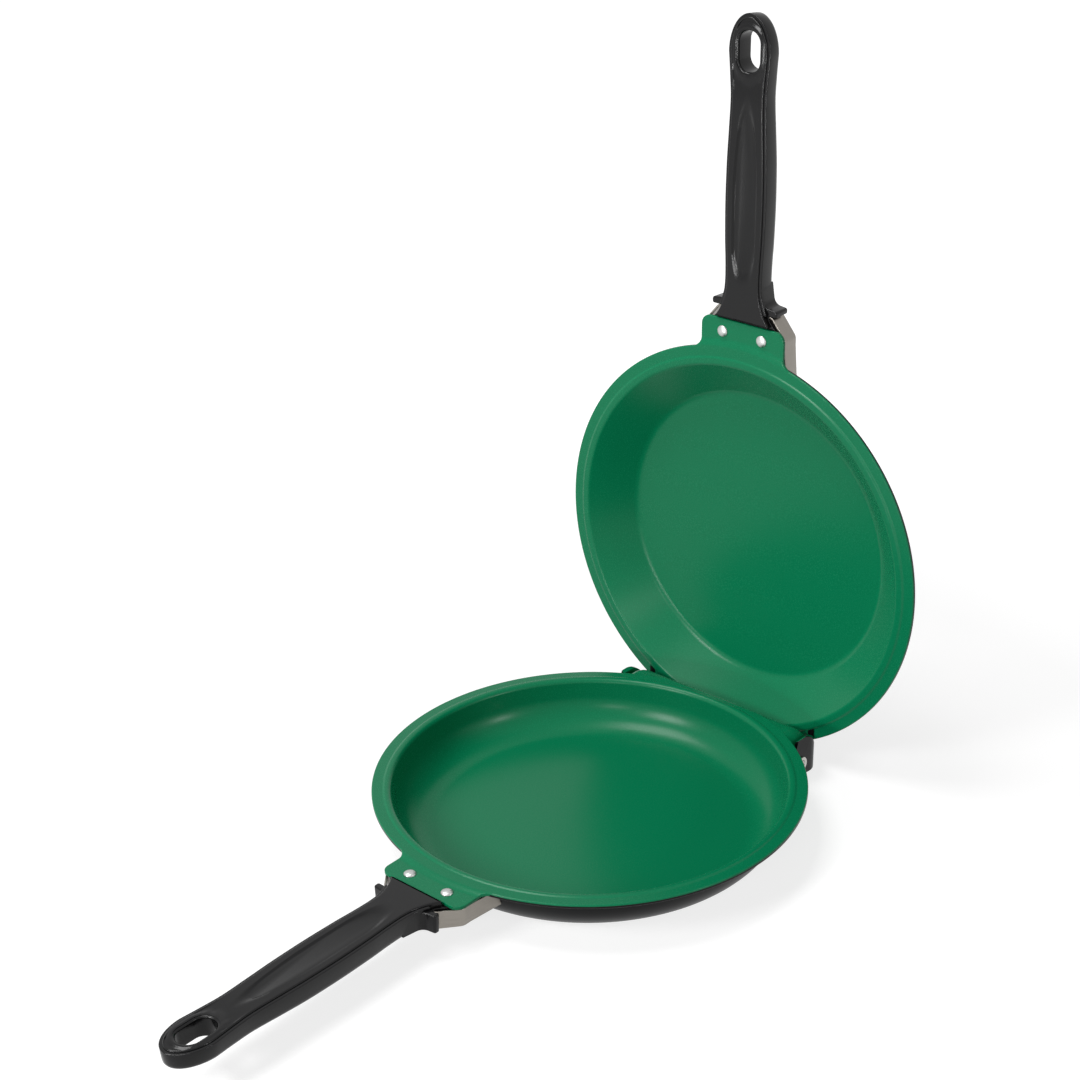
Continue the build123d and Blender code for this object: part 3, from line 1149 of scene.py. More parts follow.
@dataclass
class LowerHood(Hood):
    """The lower pan's hood: a flat top that rolls down behind, with an ear at each end."""

    face: float = 64.9
    bend: float = 10.0
    apron_sweep: float = 78.0
    sweep_steps: int = 14
    ear_front: float = 93.6

    def build(self, place: Matrix) -> bpy.types.Object:
        """Sweep the sheet's section back and round the pivot, and add the ears.

        Args:
            place: the lower half's frame.

        Returns:
            The hood, still apart from the pan.
        """
        top = -self.rim_drop - self.sliver
        outer = self.section(self.face, top, -self.drop, self.bend)
        inner = self.section(
            self.face - self.sheet, top - self.sheet, -self.drop, self.bend - self.sheet
        )
        loop = outer + inner[::-1]
        around = [Coat.INSIDE.value] * len(outer) + [Coat.OUTSIDE.value] * len(inner)
        pivot = Vector((0, self.pivot_reach, -self.drop))
        rings = [[Vector((x, self.front, z)) for x, z in loop]]
        for k in range(self.sweep_steps + 1):
            angle = -math.radians(self.apron_sweep) * k / self.sweep_steps
            turn = Matrix.Rotation(angle, 3, "X")
            rings.append([pivot + turn @ Vector((x, 0, z + self.drop)) for x, z in loop])
        hood = Shape().skin(rings, around=around).to_object("lower_hood", place)
        wedge = [
            (self.ear_front, -self.flange_under),
            (self.pivot_reach - self.ear_radius, -self.drop),
            (self.pivot_reach - self.ear_radius, -2 * self.drop),
            (self.ear_front, -2 * self.drop),
        ]
        carve(hood, side_prism(wedge, self.far).to_object("wedge", place), Join.CUT)
        disc = self.arc(self.ear_radius, 0, 360, -self.drop)[:-1]
        for side in (-1, 1):
            middle = side * (self.face - self.sheet / 2)
            half_sheet = self.sheet / 2 - self.sliver
            ring = [Vector((middle - half_sheet, y, z)) for y, z in disc]
            ear = prism(ring, Vector((2 * half_sheet, 0, 0)))
            carve(hood, ear.to_object("ear", place), Join.ADD)
        root = cylinder(self.root_radius, -self.far, self.far)
        carve(hood, root.to_object("root", place), Join.CUT)
        return hood

    def swing_room(self) -> Shape:
        """Build the space behind the pivot that the upper pan's rim swings through.

        Returns:
            The space as a solid.
        """
        curve = self.arc(self.drop, 90, -90, -self.drop)
        far = [(self.far, -self.drop), (self.far, self.drop), (self.pivot_reach, self.drop)]
        return side_prism([*curve, *far], self.far, Coat.INSIDE.value)


@dataclass
class UpperHood(Hood):
    """The upper pan's hood: a channel that straddles the lower one, with an ear on each side."""

    face: float = 67.5
    bend: float = 12.5
    ear_root: float = 107.2
    lobe: float = 17.0
    lobe_start: float = 170.0
    lobe_arc: float = 75.0
    foot_arc: float = 100.0
    back: float = 123.5
    rim_clearance: float = 0.6
    ear_rounding: float = 3.0
    foot_rounding: float = 0.8

    def side(self) -> list[Point]:
        """Draw the hood's outline from the side: its plate, its ears and their rounded lobes.

        Returns:
            The outline's points, as y and z.
        """
        drop = self.drop + self.mating_gap
        under = -self.rim_drop - self.sheet
        foot = self.arc(self.ear_radius, 0, self.foot_arc, drop)
        lobe = self.arc(self.lobe, self.lobe_start, self.lobe_arc, drop)
        corners = foot + lobe + [
            (self.ear_root, 0),
            (self.front, 0),
            (self.front, under),
            (self.back, under),
            (self.back, self.flange_under),
        ]
        radii = [0.0] * len(corners)
        radii[len(foot)] = self.foot_rounding
        radii[len(foot) + len(lobe)] = self.ear_rounding / 2
        return closed_rounded(corners, radii)

    def build(self, place: Matrix) -> bpy.types.Object:
        """Cut the bent channel to its side outline and clear of the rims.

        Args:
            place: the upper half's frame.

        Returns:
            The hood, still apart from the pan.
        """
        under = -self.rim_drop - self.sheet - self.sliver
        end = 2 * self.drop
        outer = self.section(self.face, under, end, self.bend)
        inner = self.section(
            self.face - self.sheet, under + self.sheet, end, self.bend - self.sheet
        )
        around = [Coat.OUTSIDE.value] * len(outer) + [Coat.INSIDE.value] * len(inner)
        ring = [Vector((x, self.front / 2, z)) for x, z in outer + inner[::-1]]
        hood = prism(ring, Vector((0, self.front, 0)), around).to_object("upper_hood", place)
        side = side_prism(self.side(), self.far, Coat.OUTSIDE.value)
        carve(hood, side.to_object("side", place), Join.KEEP_COMMON)
        clear = self.rim_radius + self.rim_clearance
        rim_room = cylinder(clear, 0, self.flange_under + self.rim_clearance)
        carve(hood, rim_room.to_object("rim_room", place), Join.CUT)
        root = cylinder(self.root_radius, -self.far, self.far)
        carve(hood, root.to_object("root", place), Join.CUT)
        return hood


@dataclass
class Pan:
    """One pan: its dish, its lug and its hinge hood, green inside and black outside."""

    half: Half
    finishes: Finishes
    hood_sharp: float = 38.0

    def build(self) -> bpy.types.Object:
        """Build the pan, dress it and hand it over.

        Returns:
            The finished pan.
        """
        place = self.half.place
        coats = (self.finishes.inside, self.finishes.outside)
        pan = Dish(self.half).build().to_object(f"{self.half.name}_pan_coated", place)
        lug = Lug().build().to_object("lug", place)
        if self.half.body == LOWER_BODY:
            room = LowerHood().swing_room().to_object("swing_room", place)
            carve(pan, room, Join.CUT)
            hood = LowerHood().build(place)
        else:
            hood = UpperHood().build(place)
        wear(pan, *coats)
        carve(pan, wear(lug, *coats), Join.ADD)
        carve(pan, wear(hood, *coats), Join.ADD, self.hood_sharp)
        hand_over(pan, self.half.body, "coated_aluminium", f"{self.half.name}_pan")
        return pan


# ---------------------------------------------------------------- handles and straps


@dataclass
class Handle:
    """A moulded grip with a raised face, a long thumb groove, a collar and a flat tongue."""

    half: Half
    finishes: Finishes
    face: float = -0.4
    shoulder: float = -1.3
    bottom: float = -15.4
    tip_rise: float = 3.0
    rise_start: float = 225.0
    pad_root: float = 141.3
    body_root: float = 149.3
    tip: float = 317.5
    tip_start: float = 295.5
    tip_half: float = 14.1
    rebate: float = 1.8
    taper: float = 4.0
    belly_rounding: float = 5.0
    face_rounding: float = 0.7
    shoulder_rounding: float = 0.5
    widths: tuple[Point, ...] = (
        (141.3, 22.3),
        (145.0, 19.2),
        (149.3, 16.7),
        (152.0, 15.5),
        (156.0, 14.1),
        (160.0, 13.2),
        (167.0, 12.8),
        (176.0, 13.0),
        (190.0, 13.7),
        (212.0, 14.1),
        (232.0, 13.8),
        (252.0, 12.9),
        (270.0, 12.2),
        (283.0, 13.0),
        (295.5, 14.1),
    )
    groove_depth: float = 3.0
    groove_rise: Point = (163.0, 186.0)
    groove_fall: Point = (244.0, 273.0)
    groove_widths: tuple[Point, ...] = (
        (163.0, 4.0),
        (172.0, 6.6),
        (188.0, 8.3),
        (218.0, 8.5),
        (245.0, 6.8),
        (262.0, 3.9),
        (273.0, 0.6),
    )
    hole_centre: float = 296.7
    hole_half_width: float = 7.0
    hole_half_length: float = 11.5
    hole_lip: float = 1.2
    hole_end_flat: float = 0.01
    lip_step: int = 15
    cut_room: float = 4.5
    cut_sharp: float = 30.0
    ring_rise: float = 0.8
    tip_sunk: float = 0.5
    tip_step: Point = (268.0, 284.0)
    ring_width: float = 4.3
    pad_depth: float = 1.0
    collar_side: tuple[Point, ...] = (
        (22.6, 148.5),
        (22.8, 152.4),
        (14.2, 153.4),
        (12.2, 166.0),
    )
    collar_corners: tuple[float, ...] = (0.0, 4.5, 1.7, 1.2)
    collar_bottom: float = -14.3
    collar_top: float = -3.0
    collar_inset: float = 0.3
    collar_rounding: float = 0.8
    fine_step: float = 6.0
    under_lug: float = -3.8
    tongue_half: float = 16.8
    shelf_half: float = 25.7
    shelf_start: float = 136.2
    shelf_neck: float = 146.3
    shelf_splay: float = 0.8
    tongue_start: float = 127.5
    tongue_end: float = 151.0
    tongue_thickness: float = 4.0
    tongue_corners: tuple[float, ...] = (0.0, 3.0, 4.0, 3.0)
    tongue_rounding: float = 0.4
    margin_columns: int = 7
    groove_columns: int = 16
    rows: int = 56
    least_edge: float = 5.5
    edge_share: float = 0.8

    def half_width(self, reach: float) -> float:
        """Work out the body's half width.

        Args:
            reach: the distance from the pan's middle.

        Returns:
            The half width there.
        """
        if reach <= self.tip_start:
            return through(list(self.widths), reach)
        over = min(1.0, (reach - self.tip_start) / (self.tip - self.tip_start))
        return self.tip_half * math.sqrt(1 - over * over)

    def outline(self, root: float) -> list[Point]:
        """Draw the plan from the tip up the right side and back down the left one.

        Args:
            root: the reach at which the plan starts.

        Returns:
            The plan's points, counter-clockwise.
        """
        nose = self.tip - self.tip_start
        angles = [math.radians(a) for a in range(2, 90, 4)]
        reaches = [self.tip_start + nose * math.cos(a) for a in angles]
        span = self.tip_start - root
        reaches += [self.tip_start - span * k / self.rows for k in range(self.rows + 1)]
        right = [(self.half_width(reach), -reach) for reach in reaches]
        return right + [(-x, y) for x, y in reversed(right)]

    def hole_distance(self, x: float, reach: float) -> float:
        """Measure from a point of the face to the edge of the hanging hole.

        Args:
            x: the point's place across the grip.
            reach: its distance from the pan's middle.

        Returns:
            The distance, which is negative inside the hole.
        """
        straight = self.hole_half_length - self.hole_half_width
        over = max(0.0, abs(reach - self.hole_centre) - straight)
        return math.hypot(x, over) - self.hole_half_width

    def face_height(self, x: float, reach: float) -> float:
        """Work out the height of the grip's face, with its groove and the ring round the hole.

        Args:
            x: the place across the grip.
            reach: the distance from the pan's middle.

        Returns:
            The face's height there.
        """
        width = through(list(self.groove_widths), reach)
        share = min(1.0, abs(x) / width)
        fade = smooth_step(reach, *self.groove_rise) * (1 - smooth_step(reach, *self.groove_fall))
        groove = self.groove_depth * fade * (1 - share * share)
        across = (self.hole_distance(x, reach) - self.ring_width / 2) / (self.ring_width / 2)
        ring = self.ring_rise * max(0.0, 1 - across * across)
        end = smooth_step(reach, *self.tip_step)
        return self.face - groove + (ring - self.tip_sunk) * end

    def pad(self) -> Shape:
        """Build the raised face: a low slab whose top is a grid of rows across the grip.

        Returns:
            The slab, which reaches down into the body.
        """
        outline = self.outline(self.pad_root)
        levels = [(self.rebate, self.under_lug - self.pad_depth)]
        levels += edge_levels(self.rebate, self.face, self.face_rounding, 1)
        shape = Shape().stack(outline, levels, capped=False)
        count = len(outline)
        shape.add_face(tuple(reversed(range(count))))
        last = (len(levels) - 1) * count
        pairs = [(last + k, last + count - 1 - k) for k in range(count // 2)]
        rows = [self.row(shape, right, left) for right, left in pairs[1:-1]]
        shape.add_face((pairs[0][1], pairs[0][0], *rows[0]))
        for a, b in zip(rows, rows[1:]):
            for c in range(len(a) - 1):
                shape.add_face((a[c], b[c], b[c + 1], a[c + 1]))
        shape.add_face((*reversed(rows[-1]), *pairs[-1]))
        return shape

    def row(self, shape: Shape, right: int, left: int) -> list[int]:
        """Add a row of points across the face, with two of them on the groove's edges.

        Args:
            shape: the raised face, which gets the new points.
            right: the number of its rim point at the row's right end.
            left: the number of its rim point at the row's left end.

        Returns:
            The numbers of the row's points, from right to left.
        """
        start = shape.points[right]
        half, reach = start.x, -start.y
        edge = max(through(list(self.groove_widths), reach), self.least_edge)
        edge = min(edge, half * self.edge_share)
        beside, across = self.margin_columns, self.groove_columns
        margin = [half + (edge - half) * k / beside for k in range(1, beside)]
        middle = [edge - 2 * edge * k / across for k in range(across + 1)]
        row = [right]
        for x in [*margin, *middle, *(-x for x in reversed(margin))]:
            row.append(len(shape.points))
            shape.points.append(Vector((x, start.y, self.face_height(x, reach))))
        return [*row, left]

    def body(self) -> Shape:
        """Build the grip's body below the raised face, drawn in and rounded underneath.

        The two corners at the root are set at each level, because an inset would cross them.

        Returns:
            The body.
        """
        lean = math.tan(math.radians(self.taper))
        depth = self.shoulder - self.bottom - self.belly_rounding
        foot = edge_levels(lean * depth, self.bottom, self.belly_rounding, -1)
        levels = [*foot, *edge_levels(0, self.shoulder, self.shoulder_rounding, 1)]
        outline = self.outline(self.body_root)
        root = len(outline) // 2
        rings = []
        for inset, height in levels:
            loop = inset_loop(outline, inset)
            edge = outline[root - 1][0] - inset
            loop[root - 1], loop[root] = (edge, -self.body_root), (-edge, -self.body_root)
            rings.append([self.risen(x, y, height) for x, y in loop])
        return Shape().skin(rings)

    def risen(self, x: float, y: float, height: float) -> Vector:
        """Raise a point of the body where the belly rises toward the tip.

        Args:
            x: the point's place across the grip.
            y: its place along the grip.
            height: its height on a grip with a level belly.

        Returns:
            The point in its place.
        """
        rise = self.tip_rise * smooth_step(-y, self.rise_start, self.tip)
        share = (self.shoulder - height) / (self.shoulder - self.bottom)
        return Vector((x, y, height + rise * share))

    def collar(self) -> Shape:
        """Build the collar that the strap bears on, with a hooked wing on each side.

        Returns:
            The collar.
        """
        corners = [(x, -reach) for x, reach in reversed(self.collar_side)]
        corners += [(-x, -reach) for x, reach in self.collar_side]
        radii = [*self.collar_corners, *reversed(self.collar_corners)]
        outline = closed_rounded(corners, radii, self.fine_step)
        edge = self.collar_rounding
        levels = edge_levels(self.collar_inset, self.collar_bottom, edge, -1)
        levels += edge_levels(0, self.collar_top, edge, 1)
        return Shape().stack(outline, levels)

    def tongue(self) -> Shape:
        """Build the flat tongue under the pan's lug, which the rivets pass through.

        Returns:
            The tongue.
        """
        right = [
            (self.tongue_half, -self.tongue_end),
            (self.tongue_half, -self.shelf_neck),
            (self.shelf_half, -self.shelf_start),
            (self.shelf_half + self.shelf_splay, -self.tongue_start),
        ]
        corners = right + [(-x, y) for x, y in reversed(right)]
        radii = [*self.tongue_corners, *reversed(self.tongue_corners)]
        bottom = self.under_lug - self.tongue_thickness
        levels = edge_levels(0, bottom, self.tongue_rounding, -1)
        levels += edge_levels(0, self.under_lug, self.tongue_rounding, 1)
        return Shape().stack(closed_rounded(corners, radii), levels)

    def hole(self) -> Shape:
        """Build the hanging hole's cut, with a rounded lip at both ends.

        Returns:
            The solid to cut away.
        """
        corners = box_corners(
            (-self.hole_half_width, -self.hole_centre - self.hole_half_length),
            (self.hole_half_width, -self.hole_centre + self.hole_half_length),
        )
        radius = self.hole_half_width - self.hole_end_flat
        outline = closed_rounded(corners, [radius] * 4, self.fine_step)
        lip = self.hole_lip
        top = self.face - self.tip_sunk / 2
        bottom = self.risen(0.0, -self.hole_centre, self.bottom).z
        turns = [math.radians(a) for a in range(0, 91, self.lip_step)]
        levels = [(-lip, bottom - self.cut_room)]
        for t in reversed(turns):
            levels.append((-lip * (1 - math.cos(t)), bottom + lip - lip * math.sin(t)))
        for t in turns:
            levels.append((-lip * (1 - math.cos(t)), top - lip + lip * math.sin(t)))
        levels.append((-lip, top + self.cut_room))
        return Shape().stack(outline, levels)

    def build(self) -> bpy.types.Object:
        """Join the handle's forms, cut its hole, dress it and hand it over.

        The forms are joined before they go to their place, where their faces lie level.

        Returns:
            The finished handle.
        """
        name, place = self.half.name, self.half.place
        here = Matrix.Identity(4)
        handle = self.body().to_object(f"{name}_grip", here)
        for part in (self.collar(), self.tongue(), self.pad()):
            carve(handle, part.to_object("part", here), Join.ADD)
        carve(handle, self.hole().to_object("hole", here), Join.CUT, self.cut_sharp)
        handle.data.transform(place)
        wear(handle, self.finishes.phenolic)
        hand_over(handle, self.half.body, "phenolic", f"{name}_handle")
        return handle


@dataclass
class Strap:
    """A strip of steel held against the collar and bent forward to brace the dish."""

    half: Half
    finishes: Finishes
    thickness: float = 1.2
    top: float = -4.1
    width: float = 10.6
    collar_face: float = 148.5
    elbow_half: float = 18.6
    arm_half: float = 28.0
    arm_start: float = 136.5
    arm_end: float = 131.5
    far_end: float = 80.0
    splay: float = 4.3
    bend: float = 4.5
    edge: float = 0.3
    wall_gap: float = 0.15
    notch_half: float = 17.1
    notch_bottom: float = -8.0
    bend_step: float = 8.0
    edge_step: float = 30.0

    def path(self) -> list[Point]:
        """Draw the strip's middle line in plan, from one end round to the other.

        Returns:
            The line's points.
        """
        bar = self.collar_face - self.thickness / 2
        right = [
            (self.arm_half + self.splay, -self.far_end),
            (self.arm_half, -self.arm_end),
            (self.arm_half, -self.arm_start),
            (self.elbow_half, -bar),
        ]
        corners = right + [(-x, y) for x, y in reversed(right)]
        return rounded(corners, [self.bend] * (len(corners) - 2), self.bend_step)

    def section(self) -> list[Point]:
        """Draw the strip's section.

        Returns:
            Its points: the offset across the thickness, and the height.
        """
        half = self.thickness / 2
        corners = box_corners((-half, self.top - self.width), (half, self.top))
        return closed_rounded(corners, [self.edge] * 4, self.edge_step)

    def build(self) -> bpy.types.Object:
        """Bend the strip, trim it to the dish, dress it and hand it over.

        Returns:
            The finished strap.
        """
        path = [Vector(p) for p in self.path()]
        section = self.section()
        rings, strip = [], []
        travelled = 0.0
        for i, at in enumerate(path):
            before, after = path[max(0, i - 1)], path[min(len(path) - 1, i + 1)]
            travelled += (at - before).length
            ahead = (after - before).normalized()
            side = Vector((-ahead.y, ahead.x))
            rings.append([Vector((*(at + side * t), z)) for t, z in section])
            strip += [(travelled + self.far_end, z) for _, z in section]
        shape = Shape(strip=strip).skin(rings)
        place = self.half.place
        strap = shape.to_object(f"{self.half.name}_brace_strap", place)
        trim = Dish(self.half).envelope(self.wall_gap).to_object("trim", place)
        carve(strap, trim, Join.CUT)
        low = (-self.notch_half, -self.collar_face - self.bend)
        corners = box_corners(low, (self.notch_half, -self.arm_end))
        notch = Shape().stack(corners, [(0, self.notch_bottom), (0, 0)])
        carve(strap, notch.to_object("notch", place), Join.CUT)
        wear(strap, self.finishes.steel_strip)
        hand_over(strap, self.half.body, "brushed_stainless", f"{self.half.name}_strap")
        return strap


# ---------------------------------------------------------------- rivets and washers


@dataclass
class FastenerRow:
    """A row of equal fasteners, laid out by a geometry node tree and then made plain mesh."""

    name: str
    count: int
    start: tuple[float, float, float]
    step: tuple[float, float, float]
    turn: tuple[float, float, float] = (0.0, 0.0, 0.0)

    INPUTS = (
        ("Fasteners", "NodeSocketInt"),
        ("First place", "NodeSocketVector"),
        ("Step to the next", "NodeSocketVector"),
        ("Turn at each step", "NodeSocketVector"),
        ("Finish", "NodeSocketMaterial"),
    )

    def tree(self) -> bpy.types.NodeTree:
        """Build the tree that repeats its input mesh along a line.

        Returns:
            The node tree.
        """
        tree = bpy.data.node_groups.new("row_of_fasteners", "GeometryNodeTree")
        tree.interface.new_socket("Geometry", in_out="INPUT", socket_type="NodeSocketGeometry")
        for label, kind in self.INPUTS:
            tree.interface.new_socket(label, in_out="INPUT", socket_type=kind)
        tree.interface.new_socket("Geometry", in_out="OUTPUT", socket_type="NodeSocketGeometry")
        given = add_node(tree, "NodeGroupInput").outputs
        line = add_node(
            tree,
            "GeometryNodeMeshLine",
            {
                "Count": given["Fasteners"],
                "Start Location": given["First place"],
                "Offset": given["Step to the next"],
            },
            mode="OFFSET",
        )
        index = add_node(tree, "GeometryNodeInputIndex")
        turned = add_node(
            tree,
            "ShaderNodeVectorMath",
            {0: given["Turn at each step"], "Scale": index.outputs["Index"]},
            operation="SCALE",
        )
        placed = add_node(
            tree,
            "GeometryNodeInstanceOnPoints",
            {
                "Points": line.outputs["Mesh"],
                "Instance": given["Geometry"],
                "Rotation": turned.outputs["Vector"],
            },
        )
        real = add_node(
            tree, "GeometryNodeRealizeInstances", {"Geometry": placed.outputs["Instances"]}
        )
        dressed = add_node(
            tree,
            "GeometryNodeSetMaterial",
            {"Geometry": real.outputs["Geometry"], "Material": given["Finish"]},
        )
        add_node(tree, "NodeGroupOutput", {"Geometry": dressed.outputs["Geometry"]})
        return tree

    def build(self, shape: Shape, place: Matrix, finish: bpy.types.Material) -> bpy.types.Object:
        """Repeat one fastener along the row.

        Args:
            shape: the fastener, drawn round its own origin in millimetres.
            place: the half's frame.
            finish: the fastener's material.

        Returns:
            The whole row as one plain mesh.
        """
        row = shape.to_object(self.name, Matrix.Identity(4), sharp=40.0)
        tree = self.tree()
        repeat = row.modifiers.new("row", "NODES")
        repeat.node_group = tree
        values = {
            "Fasteners": self.count,
            "First place": [v * MILLIMETRE for v in self.start],
            "Step to the next": [v * MILLIMETRE for v in self.step],
            "Turn at each step": list(self.turn),
            "Finish": finish,
        }
        for item in tree.interface.items_tree:
            if item.in_out == "INPUT" and item.name in values:
                repeat[item.identifier] = values[item.name]
        bake(row)
        row.data.transform(place)
        row.data.update()
        return row


@dataclass
class Fasteners:
    """Every rivet and washer of the pan; sizes across are radii."""

    lower: Half
    upper: Half
    finishes: Finishes
    rivet_reach: float = 133.5
    rivet_spacing: float = 27.5
    lug_top: float = -1.8
    tongue_under: float = -7.8
    washer_height: float = 0.8
    pivot_reach: float = 114.0
    pivot_drop: float = 19.0
    lower_ear_inside: float = 62.9
    lower_ear_face: float = 64.9
    upper_ear_face: float = 67.5
    play: float = 0.05
    ear_washer: float = 0.5
    head: float = 3.45
    head_height: float = 1.6
    head_edge: float = 0.25
    shank: float = 2.25
    tail: float = 3.7
    tail_height: float = 1.3
    tail_edge: float = 0.4
    backing_washer: float = 4.5
    backing_bore: float = 2.35
    pin_head: float = 4.75
    pin_head_height: float = 1.6
    pin_lip: float = 0.2
    pin_shank: float = 2.75
    pin_recess: float = 2.6
    pin_recess_depth: float = 0.7
    pin_bore: float = 2.83
    friction_washer: float = 7.9
    hinge_washer: float = 5.5
    edges_in_height: float = 5.0
    edge_step: float = 30.0
    segments: int = 48

    def lug_rivet(self) -> Shape:
        """Draw a lug rivet: a low round head above the lug and a flat tail below the washer.

        Returns:
            The rivet, upright on the z axis.
        """
        low = self.tongue_under - self.washer_height
        end = low - self.tail_height
        brim = self.lug_top + self.head_edge
        rise = self.head_height - self.head_edge
        angles = [math.radians(a) for a in range(0, 90, 9)]
        profile = [
            (0, end),
            (self.tail - self.tail_edge, end),
            (self.tail, end + self.tail_edge),
            (self.tail, low),
            (self.shank, low),
            (self.shank, self.lug_top),
            (self.head, self.lug_top),
            *((self.head * math.cos(a), brim + rise * math.sin(a)) for a in angles),
            (0, self.lug_top + self.head_height),
        ]
        return Shape().lathe(profile, [0] * (len(profile) - 1), self.segments)

    def washer(self, radius: float, bore: float, height: float) -> Shape:
        """Draw a stamped washer with slightly rounded edges.

        Args:
            radius: its outer radius.
            bore: its hole's radius.
            height: its thickness.

        Returns:
            The washer, on the plane z = 0.
        """
        corners = box_corners((bore, 0), (radius, height))
        radii = [height / self.edges_in_height] * 4
        return Shape().turn(closed_rounded(corners, radii, self.edge_step), self.segments)

    def hinge_rivet(self) -> Shape:
        """Draw a hinge rivet, with a flat inner head and an outer end rolled to a ring.

        Returns:
            The rivet, along the z axis.
        """
        head, recess = self.pin_head, self.pin_recess
        start = self.lower_ear_inside - self.ear_washer - self.play
        inner = start - self.pin_head_height
        end = self.upper_ear_face + self.play
        half_height = self.pin_head_height / 2
        brim = end + half_height
        middle, half_roll = (head + recess) / 2, (head - recess) / 2
        roll = [math.radians(a) for a in range(0, 181, 15)]
        bowl = [math.radians(a) for a in range(15, 90, 15)]
        profile = [
            (0, inner),
            (head - self.tail_edge, inner),
            (head, inner + self.tail_edge),
            (head, start),
            (self.pin_shank, start),
            (self.pin_shank, end),
            (head - self.pin_lip, end),
            *((middle + half_roll * math.cos(a), brim + half_height * math.sin(a)) for a in roll),
            *((recess * math.cos(a), brim - self.pin_recess_depth * math.sin(a)) for a in bowl),
            (0, brim - self.pin_recess_depth),
        ]
        return Shape().lathe(profile, [0] * (len(profile) - 1), self.segments)

    def tilt(self, shape: Shape) -> Shape:
        """Turn a shape that was drawn along z to lie along x, so that z points to +x.

        Args:
            shape: the shape, which changes.

        Returns:
            The same shape.
        """
        turn = Matrix.Rotation(math.pi / 2, 3, "Y")
        shape.points = [turn @ point for point in shape.points]
        return shape

    def build(self) -> None:
        """Lay out each row of fasteners, dress it and hand it over."""
        across = self.rivet_spacing
        for half in (self.lower, self.upper):
            start = (-across / 2, -self.rivet_reach, 0.0)
            rivets = FastenerRow(f"{half.name}_headed_rivets", 2, start, (across, 0, 0))
            row = rivets.build(self.lug_rivet(), half.place, self.finishes.rivet_aluminium)
            hand_over(row, half.body, "aluminium_rivet", f"{half.name}_lug_rivets")
            low = (start[0], start[1], self.tongue_under - self.washer_height)
            washers = FastenerRow(f"{half.name}_backing_washers", 2, low, (across, 0, 0))
            washer = self.washer(self.backing_washer, self.backing_bore, self.washer_height)
            row = washers.build(washer, half.place, self.finishes.washer_steel)
            hand_over(row, half.body, "washer_steel", f"{half.name}_rivet_washers")
        pivot = (0.0, self.pivot_reach, -self.pivot_drop)
        half_turn = (0.0, 0.0, math.pi)
        place, body = self.lower.place, self.lower.body
        pins = FastenerRow("hinge_pins", 2, pivot, (0, 0, 0), half_turn)
        row = pins.build(self.tilt(self.hinge_rivet()), place, self.finishes.rivet_steel)
        hand_over(row, body, "steel_rivet", "left_hinge_rivet", "right_hinge_rivet")
        for name, radius, offset in (
            ("friction", self.friction_washer, self.lower_ear_face + self.play),
            ("hinge", self.hinge_washer, self.lower_ear_inside - self.ear_washer - self.play),
        ):
            washer = self.washer(radius, self.pin_bore, self.ear_washer)
            washer.points = [point + Vector((0, 0, offset)) for point in washer.points]
            pair = FastenerRow(f"{name}_washer_pair", 2, pivot, (0, 0, 0), half_turn)
            row = pair.build(self.tilt(washer), place, self.finishes.washer_steel)
            hand_over(row, body, "washer_steel", f"left_{name}_washer", f"right_{name}_washer")
        for half in (self.lower, self.upper):
            for node, finish in (
                (f"{half.name}_strap_screw", self.finishes.screw_steel),
                (f"{half.name}_handle_insert", self.finishes.brass),
            ):
                for slot in frame["nodes"][node].material_slots:
                    slot.material = finish
                log.info("%s: dressed where it is", node)


# ---------------------------------------------------------------- stage, camera and lights


@dataclass(frozen=True)
class Lamp:
    """One soft lamp: its place and aim, its size and its power."""

    name: str
    place: tuple[float, float, float]
    aim: tuple[float, float, float]
    size: tuple[float, float]
    power: float

    def build(self) -> None:
        """Hang the lamp."""
        data = bpy.data.lights.new(self.name, "AREA")
        data.shape = "RECTANGLE"
        data.size, data.size_y = self.size
        data.energy = self.power
        lamp = bpy.data.objects.new(self.name, data)
        at = Vector(self.place)
        turn = (Vector(self.aim) - at).to_track_quat("-Z", "Y").to_matrix().to_4x4()
        lamp.matrix_world = Matrix.Translation(at) @ turn
        bpy.context.scene.collection.objects.link(lamp)


